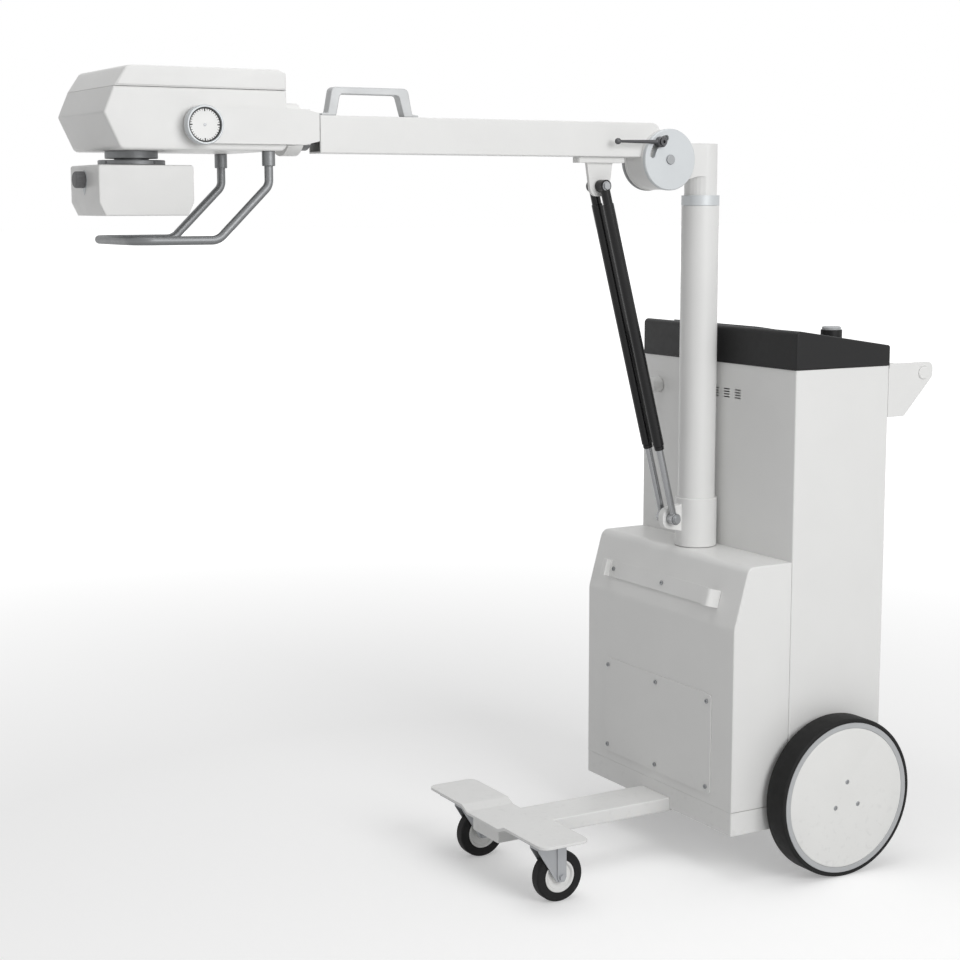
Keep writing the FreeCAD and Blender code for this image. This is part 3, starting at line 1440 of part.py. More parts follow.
drawing = place_sketch(unit, "YZ_Plane", 0)
draw_circle(drawing, beam_y + 10, tank_foot + 42, 40)
pad(unit, drawing, tank_half * 2, both_ways=True)
drawing = place_sketch(unit, "YZ_Plane", 0)
draw_circle(drawing, tilt_y, roll_z, trunnion_radius)
pad(unit, drawing, (dial_floor - 1) * 2, both_ways=True)
keep("tube_unit", unit)

# Steering loop under the tube head
loop_y = derived("steering_loop_position", head_rear_y - 29.5)
loop_front = derived("steering_loop_front", nose_y + 54)
loop = new_body("steering_loop")
for side in (1, -1):
    drawing = place_sketch(loop, "XY_Plane", head_bottom - seat)
    draw_circle(drawing, loop_half_width * side, loop_y, 11.3)
    pad(loop, drawing, 25, backwards=True)
for side in (1, -1):
    path = place_sketch(loop, "YZ_Plane", loop_half_width * side)
    draw_loop(path, [
        (loop_y, head_bottom - 20), (loop_y, head_bottom - 58), (loop_y - 95, loop_z), (loop_front + 90, loop_z),
    ], {1: 22.0, 2: 30.0}, closed=False)
    ring = place_sketch(loop, "XY_Plane", head_bottom - 20)
    draw_circle(ring, loop_half_width * side, loop_y, loop_tube_radius)
    pipe(loop, ring, path)
path = place_sketch(loop, "XY_Plane", loop_z)
draw_loop(path, [
    (loop_half_width, loop_front + 91), (loop_half_width, loop_front), (-loop_half_width, loop_front),
    (-loop_half_width, loop_front + 91),
], {1: loop_bend, 2: loop_bend}, closed=False)
ring = place_sketch(loop, "XZ_Plane", -(loop_front + 91))
draw_circle(ring, loop_half_width, loop_z, loop_tube_radius)
pipe(loop, ring, path)
keep("steering_loop", loop)

# Beam flange, turning collimator and its knob
turn_face = derived("collimator_flange_bottom", collimator_top + seat)
turn_top = derived("collimator_flange_top", turn_face + 8.5)
keep("head_flange", turned_about_z("head_flange", 0, beam_y, [
    (spigot_radius + running, turn_top + seat), (29.5, turn_top + seat), (29.5, head_bottom - 12.5),
    (upper_ring_radius, head_bottom - 12.5), (upper_ring_radius, head_bottom - seat),
    (spigot_radius + running, head_bottom - seat),
]))
keep("collimator_flange", turned_about_z("collimator_flange", 0, beam_y, [
    (spigot_bore, turn_face), (lower_ring_radius - 1, turn_face), (lower_ring_radius, turn_face + 1),
    (lower_ring_radius, turn_top - 1), (lower_ring_radius - 1, turn_top), (spigot_radius, turn_top),
    (spigot_radius, head_bottom - 2), (spigot_bore, head_bottom - 2),
]))
box = new_body("collimator_case")
front_face = derived("collimator_front", beam_y - collimator_half_length)
back_face = derived("collimator_back", beam_y + collimator_half_length)
drawing = place_sketch(box, "YZ_Plane", 0)
draw_loop(drawing, [
    (front_face, collimator_top), (front_face, collimator_bottom + bevel_rise),
    (front_face + bevel_run, collimator_bottom), (back_face - bevel_run, collimator_bottom),
    (back_face, collimator_bottom + bevel_rise), (back_face, collimator_top),
], {0: 5.0, 5: 5.0})
pad(box, drawing, collimator_half_width * 2, both_ways=True)
round_faces(box, faces_along(SIDEWAYS), collimator_edge_round)
drawing = place_sketch(box, "YZ_Plane", 0)
draw_loop(drawing, [
    (front_face + case_wall, collimator_top - case_wall), (front_face + case_wall, collimator_bottom + bevel_rise),
    (front_face + bevel_run + case_wall, collimator_bottom + case_wall),
    (back_face - bevel_run - case_wall, collimator_bottom + case_wall),
    (back_face - case_wall, collimator_bottom + bevel_rise), (back_face - case_wall, collimator_top - case_wall),
])
pocket(box, drawing, (collimator_half_width - case_wall) * 2, both_ways=True)
drawing = place_sketch(box, "XY_Plane", collimator_top + 1)
draw_circle(drawing, 0, beam_y, spigot_bore)
pocket(box, drawing, case_wall + 2)
drawing = place_sketch(box, "XY_Plane", collimator_bottom + case_wall + 1)
draw_box(drawing, -window_half, beam_y - window_half, window_half, beam_y + window_half, 4.0)
pocket(box, drawing, case_wall + 3)
drawing = place_sketch(box, "XZ_Plane", -(front_face - 1))
draw_circle(drawing, 0, knob_z, knob_stem + running)
pocket(box, drawing, case_wall + 2)
keep("collimator_case", box)
window = new_body("exit_window")
drawing = place_sketch(window, "XY_Plane", collimator_bottom + case_wall + seat)
draw_box(drawing, -window_half - 6, beam_y - window_half - 6, window_half + 6, beam_y + window_half + 6)
pad(window, drawing, 3)
keep("exit_window", window)
keep("collimator_knob", turned_about_y("collimator_knob", 0, knob_z, [
    (front_face + case_wall + 9, 0), (front_face + case_wall + 9, 7), (front_face + case_wall + 1, 7),
    (front_face + case_wall + 1, knob_stem), (front_face - seat, knob_stem), (front_face - seat, knob_radius),
    (front_face - seat - knob_length + 2, knob_radius - 1), (front_face - seat - knob_length, knob_radius - 3),
    (front_face - seat - knob_length, 0),
]))

# Check every feature and piece, then write one file per piece
doc.recompute()
for item in doc.Objects:
    if "Invalid" in item.State or "Error" in item.State:
        raise RuntimeError("%s did not rebuild: %s" % (item.Label, item.State))
os.makedirs("parts", exist_ok=True)
for name, item in nodes.items():
    shape = item.Shape
    if shape.isNull() or not shape.isValid() or not shape.Solids:
        raise RuntimeError("%s has no valid solid" % name)
    shape.exportStep("parts/%s.step" % name)
print("%d pieces written" % len(nodes))
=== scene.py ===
"""Looks of a wheeled x-ray machine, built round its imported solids."""

import json
import logging
import math
from abc import ABC, abstractmethod
from dataclasses import dataclass, replace
from enum import Enum
from functools import lru_cache
from typing import Optional, Sequence

import bmesh
import bpy
from mathutils import Matrix, Vector


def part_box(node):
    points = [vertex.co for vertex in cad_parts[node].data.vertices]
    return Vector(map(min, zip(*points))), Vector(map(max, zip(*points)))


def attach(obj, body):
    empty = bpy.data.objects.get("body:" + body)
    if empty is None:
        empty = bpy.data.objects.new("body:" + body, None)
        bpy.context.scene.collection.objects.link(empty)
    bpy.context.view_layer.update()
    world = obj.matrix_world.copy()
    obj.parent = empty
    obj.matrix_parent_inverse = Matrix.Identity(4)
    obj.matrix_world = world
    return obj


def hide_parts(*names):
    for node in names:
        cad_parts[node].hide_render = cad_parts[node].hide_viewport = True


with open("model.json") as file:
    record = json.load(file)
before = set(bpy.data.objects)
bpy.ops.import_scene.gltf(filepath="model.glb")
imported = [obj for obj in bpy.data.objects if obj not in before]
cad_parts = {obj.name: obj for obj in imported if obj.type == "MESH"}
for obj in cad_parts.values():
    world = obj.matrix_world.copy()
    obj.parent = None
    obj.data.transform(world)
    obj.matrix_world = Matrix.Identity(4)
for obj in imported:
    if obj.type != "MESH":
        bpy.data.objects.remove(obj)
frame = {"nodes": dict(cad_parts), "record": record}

log = logging.getLogger("xray_machine")
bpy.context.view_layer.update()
DRIFT_SCALE = 9.0
DRIFT_ENDS = (0.35, 0.65)
SCUFF_SCALE = 70.0
SCUFF_HEIGHTS = (0.03, 0.24)
SCUFF_LEVELS = (0.56, 0.74)
SCUFF_SHADE = 0.45
GLOSS_SHARE = 0.12
GLOSS_LEVELS = (0.3, 0.7)
GLOSS_SPREAD = 0.05
RELIEF_STRENGTH = 0.35
LATHE_SCALE = 330.0
LATHE_WOBBLE = 0.6
COAT_ROUGHNESS = 0.12
WINDOW_CLARITY = 0.85
WINDOW_INDEX = 1.49
FACES_UP = 0.9
THIN_EDGE = 0.0004


class Axis(Enum):
    """The row axes, by index."""

    X = 0
    Y = 1
    Z = 2


class Side(Enum):
    """The machine's two sides, with the sign of their X."""

    LEFT = 1.0
    RIGHT = -1.0

    @property
    def tag(self) -> str:
        """Return the side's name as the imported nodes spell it."""
        return self.name.lower()


class Grain(Enum):
    """The kinds of surface, with their fine frequency in cycles per metre and their stretch."""

    PAINT = (420.0, (1.0, 1.0, 1.0))
    MOULDED = (900.0, (1.0, 1.0, 1.01))
    BRUSHED = (1500.0, (1.0, 0.08, 1.0))
    DRAWN = (1300.0, (1.0, 1.0, 0.06))
    TURNED = (1100.0, (1.0, 1.0, 1.02))
    RUBBER = (700.0, (1.0, 1.0, 1.03))
    PLATED = (240.0, (1.0, 1.0, 1.04))
    CLEAR = (30.0, (1.0, 1.0, 1.05))

    @property
    def frequency(self) -> float:
        """Return the fine pattern's frequency."""
        return self.value[0]

    @property
    def stretch(self) -> tuple[float, float, float]:
        """Return how the pattern is stretched along each axis."""
        return self.value[1]


@dataclass(frozen=True)
class Finish:
    """One surface finish of the machine.

    Attributes:
        slot: Name of the record's material slot.
        colour: Linear red, green and blue.
        grain: Kind of surface detail.
        roughness: Mean roughness.
        metallic: Metal share.
        fleck: Share by which the colour drifts.
        relief: Height of the surface detail, in metres.
        coat: Weight of a clear coat.
        shine: Specular level of the bare surface.
        scuff: Strength of the scuffs near the floor.
        variant: Added to the material's name where a slot has several finishes.
        axis: Axis of the lathe marks on a turned face.
        centre: Centre of the lathe marks.
    """

    slot: str
    colour: tuple[float, float, float]
    grain: Grain
    roughness: float
    metallic: float = 0.0
    fleck: float = 0.03
    relief: float = 0.00006
    coat: float = 0.0
    shine: float = 0.5
    scuff: float = 0.0
    variant: str = ""
    axis: Axis = Axis.Z
    centre: Optional[tuple[float, float, float]] = None

    def about(self, axis: Axis, node: str) -> "Finish":
        """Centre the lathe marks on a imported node.

        Args:
            axis: Axis of the turning.
            node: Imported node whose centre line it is.

        Returns:
            The finish with its marks in place.
        """
        return replace(self, variant=node, axis=axis, centre=tuple(middle(node)))

    def material(self) -> bpy.types.Material:
        """Build the node material, or return it if it exists already.

        Returns:
            The material, named after its slot and variant.
        """
        name = "_".join(part for part in ("finish", self.slot, self.variant) if part)
        found = bpy.data.materials.get(name)
        if found is not None:
            return found
        made = bpy.data.materials.new(name)
        made.use_nodes = True
        nodes, links = made.node_tree.nodes, made.node_tree.links
        shader = nodes["Principled BSDF"]
        shader.inputs["Metallic"].default_value = self.metallic
        shader.inputs["Coat Weight"].default_value = self.coat
        shader.inputs["Coat Roughness"].default_value = COAT_ROUGHNESS
        shader.inputs["Specular IOR Level"].default_value = self.shine
        place = nodes.new("ShaderNodeTexCoord")
        stretch = nodes.new("ShaderNodeMapping")
        stretch.inputs["Scale"].default_value = self.grain.stretch
        links.new(place.outputs["Object"], stretch.inputs["Vector"])
        self._colour(nodes, links, place, stretch, shader)
        self._roughness(nodes, links, stretch, shader)
        self._relief(nodes, links, place, stretch, shader)
        if self.grain is Grain.CLEAR:
            shader.inputs["Transmission Weight"].default_value = WINDOW_CLARITY
            shader.inputs["IOR"].default_value = WINDOW_INDEX
        return made

    def _noise(
        self, nodes: bpy.types.Nodes, links: bpy.types.NodeLinks, source: bpy.types.Node, scale: float, detail: float
    ) -> bpy.types.Node:
        """Add a noise texture read in object coordinates.

        Args:
            nodes: Node collection of the material.
            links: Link collection of the material.
            source: Mapping node that gives the coordinates.
            scale: Frequency of the noise.
            detail: Octaves of the noise.

        Returns:
            The noise node.
        """
        noise = nodes.new("ShaderNodeTexNoise")
        noise.inputs["Scale"].default_value = scale
        noise.inputs["Detail"].default_value = detail
        links.new(source.outputs["Vector"], noise.inputs["Vector"])
        return noise

    def _spread(
        self, nodes: bpy.types.Nodes, links: bpy.types.NodeLinks, value: bpy.types.NodeSocket,
        given: tuple[float, float], wanted: tuple[float, float]
    ) -> bpy.types.NodeSocket:
        """Map one range of values to another, held at both ends.

        Args:
            nodes: Node collection of the material.
            links: Link collection of the material.
            value: Socket to map.
            given: Range that the value has.
            wanted: Range that it is mapped to.

        Returns:
            The mapped socket.
        """
        node = nodes.new("ShaderNodeMapRange")
        node.inputs["From Min"].default_value, node.inputs["From Max"].default_value = given
        node.inputs["To Min"].default_value, node.inputs["To Max"].default_value = wanted
        links.new(value, node.inputs["Value"])
        return node.outputs["Result"]

    def _colour(
        self, nodes: bpy.types.Nodes, links: bpy.types.NodeLinks, place: bpy.types.Node, source: bpy.types.Node,
        shader: bpy.types.Node
    ) -> None:
        """Drift the colour slowly over the piece, with scuffs low down where the finish has them."""
        noise = self._noise(nodes, links, source, DRIFT_SCALE, 3.0)
        ramp = nodes.new("ShaderNodeValToRGB")
        low = [max(0.0, c * (1.0 - self.fleck)) for c in self.colour]
        high = [min(1.0, c * (1.0 + self.fleck * 0.5)) for c in self.colour]
        for element, position, shade in zip(ramp.color_ramp.elements, DRIFT_ENDS, (low, high)):
            element.position = position
            element.color = (*shade, 1.0)
        links.new(noise.outputs["Fac"], ramp.inputs["Fac"])
        if self.scuff <= 0.0:
            links.new(ramp.outputs["Color"], shader.inputs["Base Color"])
            return
        split = nodes.new("ShaderNodeSeparateXYZ")
        links.new(place.outputs["Object"], split.inputs["Vector"])
        nearness = self._spread(nodes, links, split.outputs["Z"], SCUFF_HEIGHTS, (self.scuff, 0.0))
        marks = self._noise(nodes, links, source, SCUFF_SCALE, 7.0)
        spots = self._spread(nodes, links, marks.outputs["Fac"], SCUFF_LEVELS, (0.0, 1.0))
        share = nodes.new("ShaderNodeMath")
        share.operation = "MULTIPLY"
        links.new(nearness, share.inputs[0])
        links.new(spots, share.inputs[1])
        worn = nodes.new("ShaderNodeMix")
        worn.data_type = "RGBA"
        links.new(share.outputs["Value"], worn.inputs["Factor"])
        links.new(ramp.outputs["Color"], worn.inputs["A"])
        worn.inputs["B"].default_value = (*(SCUFF_SHADE * c for c in self.colour), 1.0)
        links.new(worn.outputs["Result"], shader.inputs["Base Color"])

    def _roughness(
        self, nodes: bpy.types.Nodes, links: bpy.types.NodeLinks, source: bpy.types.Node, shader: bpy.types.Node
    ) -> None:
        """Vary the gloss with a middling noise."""
        noise = self._noise(nodes, links, source, self.grain.frequency * GLOSS_SHARE, 4.0)
        mapped = self._spread(
            nodes, links, noise.outputs["Fac"], GLOSS_LEVELS,
            (max(0.02, self.roughness - GLOSS_SPREAD), min(1.0, self.roughness + GLOSS_SPREAD)))
        links.new(mapped, shader.inputs["Roughness"])

    def _relief(
        self, nodes: bpy.types.Nodes, links: bpy.types.NodeLinks, place: bpy.types.Node, source: bpy.types.Node,
        shader: bpy.types.Node
    ) -> None:
        """Raise a fine bump for grain, orange peel or lathe marks."""
        bump = nodes.new("ShaderNodeBump")
        bump.inputs["Strength"].default_value = RELIEF_STRENGTH
        bump.inputs["Distance"].default_value = self.relief
        if self.centre is None:
            noise = self._noise(nodes, links, source, self.grain.frequency, 2.0)
            links.new(noise.outputs["Fac"], bump.inputs["Height"])
        else:
            shift = nodes.new("ShaderNodeMapping")
            shift.inputs["Location"].default_value = tuple(-c for c in self.centre)
            links.new(place.outputs["Object"], shift.inputs["Vector"])
            rings = nodes.new("ShaderNodeTexWave")
            rings.wave_type = "RINGS"
            rings.rings_direction = self.axis.name
            rings.inputs["Scale"].default_value = LATHE_SCALE
            rings.inputs["Distortion"].default_value = LATHE_WOBBLE
            rings.inputs["Detail"].default_value = 1.0
            links.new(shift.outputs["Vector"], rings.inputs["Vector"])
            links.new(rings.outputs["Fac"], bump.inputs["Height"])
        links.new(bump.outputs["Normal"], shader.inputs["Normal"])


WHITE_PAINT = Finish("white_paint", (0.80, 0.80, 0.79), Grain.PAINT, 0.38, fleck=0.012, shine=0.4, scuff=0.18)
WHITE_SHELL = Finish("white_shell", (0.81, 0.81, 0.80), Grain.MOULDED, 0.40, fleck=0.012, shine=0.4)
WHITE_PLASTIC = Finish("white_plastic", (0.80, 0.80, 0.785), Grain.MOULDED, 0.42, fleck=0.015, shine=0.4, scuff=0.2)
GREY_PLASTIC = Finish("grey_plastic", (0.46, 0.47, 0.48), Grain.MOULDED, 0.45, shine=0.4)
GRIP_PLASTIC = Finish(
    "grey_plastic", (0.20, 0.20, 0.205), Grain.MOULDED, 0.55, relief=0.0003, fleck=0.12, shine=0.3, variant="grip")
BLACK_PLASTIC = Finish("black_plastic", (0.012, 0.012, 0.0125), Grain.MOULDED, 0.45, relief=0.0001, shine=0.25)
DARK_PANEL = Finish("dark_panel", (0.022, 0.024, 0.028), Grain.MOULDED, 0.24, shine=0.4, coat=0.2)
KEY_PLASTIC = Finish("grey_plastic", (0.30, 0.31, 0.33), Grain.MOULDED, 0.5, shine=0.35, variant="keys")
BLACK_ENAMEL = Finish("black_enamel", (0.006, 0.006, 0.0065), Grain.PAINT, 0.26, relief=0.00002, shine=0.3)
BLACK_RUBBER = Finish(
    "black_rubber", (0.013, 0.013, 0.013), Grain.RUBBER, 0.62, relief=0.0002, fleck=0.18, shine=0.2)
ZINC_STEEL = Finish("zinc_steel", (0.42, 0.43, 0.445), Grain.PLATED, 0.42, 0.55, relief=0.00003)
ROD_STEEL = Finish("bright_steel", (0.34, 0.345, 0.355), Grain.DRAWN, 0.22, 0.9, relief=0.00001)
DARK_STEEL = Finish("dark_steel", (0.10, 0.10, 0.105), Grain.BRUSHED, 0.4, 0.8, relief=0.00002)
BOLT_STEEL = Finish("dark_steel", (0.34, 0.35, 0.36), Grain.BRUSHED, 0.4, 0.6, relief=0.00002, variant="bolts")
ALUMINIUM = Finish("machined_aluminium", (0.20, 0.205, 0.21), Grain.BRUSHED, 0.46, 0.85, relief=0.00003)
PALE_ALUMINIUM = Finish(
    "machined_aluminium", (0.60, 0.625, 0.64), Grain.TURNED, 0.46, 0.25, relief=0.00003, variant="pale")
CAST_ALUMINIUM = Finish(
    "machined_aluminium", (0.50, 0.51, 0.515), Grain.PLATED, 0.5, 0.3, relief=0.00008, variant="cast")
UNIT_ALUMINIUM = Finish("unit_aluminium", (0.42, 0.43, 0.44), Grain.PLATED, 0.45, 0.8)
DIAL_WHITE = Finish("dial_white", (0.84, 0.84, 0.83), Grain.MOULDED, 0.4, fleck=0.01)
CLEAR_WINDOW = Finish("clear_window", (0.78, 0.84, 0.85), Grain.CLEAR, 0.06)
FINISHES = {f.slot: f for f in (
    WHITE_PAINT, WHITE_SHELL, WHITE_PLASTIC, GREY_PLASTIC, BLACK_PLASTIC, DARK_PANEL, BLACK_ENAMEL, BLACK_RUBBER,
    ZINC_STEEL, ROD_STEEL, DARK_STEEL, ALUMINIUM, UNIT_ALUMINIUM, DIAL_WHITE, CLEAR_WINDOW)}


def body_of_node(node: str) -> str:
    """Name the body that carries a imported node.

    Args:
        node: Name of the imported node.

    Returns:
        The body's name.
    """
    for name, members in frame["record"]["behaviour"]["bodies"].items():
        if node in members:
            return name
    raise KeyError(node)


def slot_of_node(node: str) -> str:
    """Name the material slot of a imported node."""
    for entry in frame["record"]["subparts"]:
        if entry["node"] == node:
            return entry["material_slot"]
    raise KeyError(node)


def middle(node: str) -> Vector:
    """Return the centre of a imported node's box."""
    low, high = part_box(node)
    return (low + high) / 2


def span(node: str) -> Vector:
    """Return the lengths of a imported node's box."""
    low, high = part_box(node)
    return high - low


def facing(axis: Axis, sign: float, centre: Sequence[float]) -> Matrix:
    """Return the place whose own Z points along a row axis.

    Args:
        axis: Row axis that the place's Z follows.
        sign: 1 or -1, for the direction along the axis.
        centre: Origin of the place.

    Returns:
        The placing matrix.
    """
    out = Vector((0.0, 0.0, 0.0))
    out[axis.value] = sign
    return Matrix.Translation(centre) @ out.to_track_quat("Z", "Y").to_matrix().to_4x4()


def along(start: Vector, end: Vector) -> Matrix:
    """Return the place at one point whose own Z points at another."""
    return Matrix.Translation(start) @ (end - start).to_track_quat("Z", "X").to_matrix().to_4x4()


def upright(out: Vector) -> Matrix:
    """Return the turn that puts own Z along a level direction and own Y upwards."""
    up = Vector((0.0, 0.0, 1.0))
    return Matrix((up.cross(out), up, out)).transposed().to_4x4()


class Piece:
    """One visible mesh that rides on a body and takes a finish."""

    def __init__(self, name: str, shape: bmesh.types.BMesh, smooth_angle: float = 32.0) -> None:
        """Turn a finished shape into an object in the scene.

        Args:
            name: Name of the piece.
            shape: The mesh in the row frame; it is freed here.
            smooth_angle: Edges sharper than this, in degrees, stay hard.
        """
        mesh = bpy.data.meshes.new(name)
        shape.to_mesh(mesh)
        shape.free()
        self.item = bpy.data.objects.new(name, mesh)
        bpy.context.scene.collection.objects.link(self.item)
        mesh.shade_smooth()
        mesh.set_sharp_from_angle(angle=math.radians(smooth_angle))

    def bevel(self, width: float, segments: int = 2, angle: float = 35.0) -> "Piece":
        """Round the piece's sharp edges.

        Args:
            width: Bevel width in metres.
            segments: Steps across the bevel.
            angle: Edges sharper than this, in degrees, are rounded.

        Returns:
            The piece itself.
        """
        edge = self.item.modifiers.new("edge", "BEVEL")
        edge.width = width
        edge.segments = segments
        edge.limit_method = "ANGLE"
        edge.angle_limit = math.radians(angle)
        edge.harden_normals = True
        return self

    def dress(self, finish: Finish, body: str, *replaced: str) -> bpy.types.Object:
        """Give the piece its finish and body, and hide the nodes that it stands for.

        Args:
            finish: The surface finish.
            body: Body that the piece rides on.
            replaced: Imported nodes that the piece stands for.

        Returns:
            The finished object.
        """
        self.item.data.materials.append(finish.material())
        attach(self.item, body)
        if replaced:
            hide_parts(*replaced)
        log.info("piece %s on %s", self.item.name, body)
        return self.item


def merged_copy(node: str) -> bmesh.types.BMesh:
    """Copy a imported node's triangles, merged into whole flat faces.

    Args:
        node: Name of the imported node.

    Returns:
        The merged mesh.
    """
    shape = bmesh.new()
    shape.from_mesh(frame["nodes"][node].data)
    bmesh.ops.remove_doubles(shape, verts=shape.verts, dist=2e-6)
    bmesh.ops.dissolve_limit(
        shape, angle_limit=math.radians(0.4), verts=shape.verts, edges=shape.edges, use_dissolve_boundaries=False)
    return shape


def refined(node: str, bevel: float = 0.0006, finish: Optional[Finish] = None, segments: int = 2) -> bpy.types.Object:
    """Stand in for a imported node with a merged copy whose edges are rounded.

    Args:
        node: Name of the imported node.
        bevel: Width of the edge rounding, in metres.
        finish: Finish to use, or None for the node's own slot.
        segments: Steps across each rounded edge.

    Returns:
        The finished object.
    """
    chosen = finish or FINISHES[slot_of_node(node)]
    piece = Piece(node + "_skin", merged_copy(node))
    if bevel > 0:
        piece.bevel(bevel, segments)
    return piece.dress(chosen, body_of_node(node), node)


def kept(node: str) -> bpy.types.Object:
    """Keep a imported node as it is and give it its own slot's finish."""
    item = frame["nodes"][node]
    item.data.materials.clear()
    item.data.materials.append(FINISHES[slot_of_node(node)].material())
    return item


def spin(
    shape: bmesh.types.BMesh, place: Matrix, profile: Sequence[tuple[float, float]], steps: int = 96
) -> None:
    """Add a closed outline spun about a place's own Z to a mesh.

    Args:
        shape: Mesh that takes the faces.
        place: Where the turning axis starts and points.
        profile: Pairs of distance along the axis and radius, in metres, in order round the outline.
        steps: Facets round the axis.
    """
    rings: list[list[bmesh.types.BMVert]] = []
    for distance, radius in profile:
        turns = (0.0,) if radius < 1e-7 else tuple(2 * math.pi * step / steps for step in range(steps))
        rings.append([
            shape.verts.new(place @ Vector((radius * math.cos(turn), radius * math.sin(turn), distance)))
            for turn in turns])
    made: list[bmesh.types.BMFace] = []
    for index, ring in enumerate(rings):
        other = rings[(index + 1) % len(rings)]
        if len(ring) == 1 and len(other) == 1:
            continue
        for step in range(steps):
            after = (step + 1) % steps
            corners = [
                ring[step % len(ring)], other[step % len(other)], other[after % len(other)],
                ring[after % len(ring)]]
            whole = [v for i, v in enumerate(corners) if v not in corners[:i]]
            if len(whole) > 2:
                made.append(shape.faces.new(whole))
    bmesh.ops.recalc_face_normals(shape, faces=made)


def turned(name: str, place: Matrix, profile: Sequence[tuple[float, float]], steps: int = 96) -> Piece:
    """Make one piece by spinning a closed outline.

    Args:
        name: Name of the piece.
        place: Where the turning axis starts and points.
        profile: Pairs of distance along the axis and radius, in metres.
        steps: Facets round the axis.

    Returns:
        The turned piece.
    """
    shape = bmesh.new()
    spin(shape, place, profile, steps)
    return Piece(name, shape)


def raise_outline(
    shape: bmesh.types.BMesh, place: Matrix, outline: Sequence[tuple[float, float]], low: float, high: float,
    chamfer: float = 0.0
) -> None:
    """Add a closed flat outline raised along a place's own Z to a mesh.

    Args:
        shape: Mesh that takes the faces.
        place: Where the outline's plane lies.
        outline: Corners in the place's own XY, in order.
        low: Height of the bottom.
        high: Height of the top.
        chamfer: Depth of the chamfer round the top, towards the outline's mean point.
    """
    centre = Vector((sum(p[0] for p in outline), sum(p[1] for p in outline))) / len(outline)
    levels = [(low, 0.0), (high, 0.0)] if chamfer <= 0 else [(low, 0.0), (high - chamfer, 0.0), (high, chamfer)]
    rings = []
    for height, inset in levels:
        ring = []
        for x, y in outline:
            inward = (centre - Vector((x, y))).normalized() * inset
            ring.append(shape.verts.new(place @ Vector((x + inward.x, y + inward.y, height))))
        rings.append(ring)
    made = [shape.faces.new(rings[0]), shape.faces.new(rings[-1])]
    for lower, upper in zip(rings, rings[1:]):
        for index in range(len(outline)):
            after = (index + 1) % len(outline)
            made.append(shape.faces.new((lower[index], lower[after], upper[after], upper[index])))
    bmesh.ops.recalc_face_normals(shape, faces=made)


def hexagon(radius: float, turn: float = 0.0) -> list[tuple[float, float]]:
    """Return the corners of a hexagon."""
    return [
        (radius * math.cos(turn + math.pi * k / 3), radius * math.sin(turn + math.pi * k / 3)) for k in range(6)]


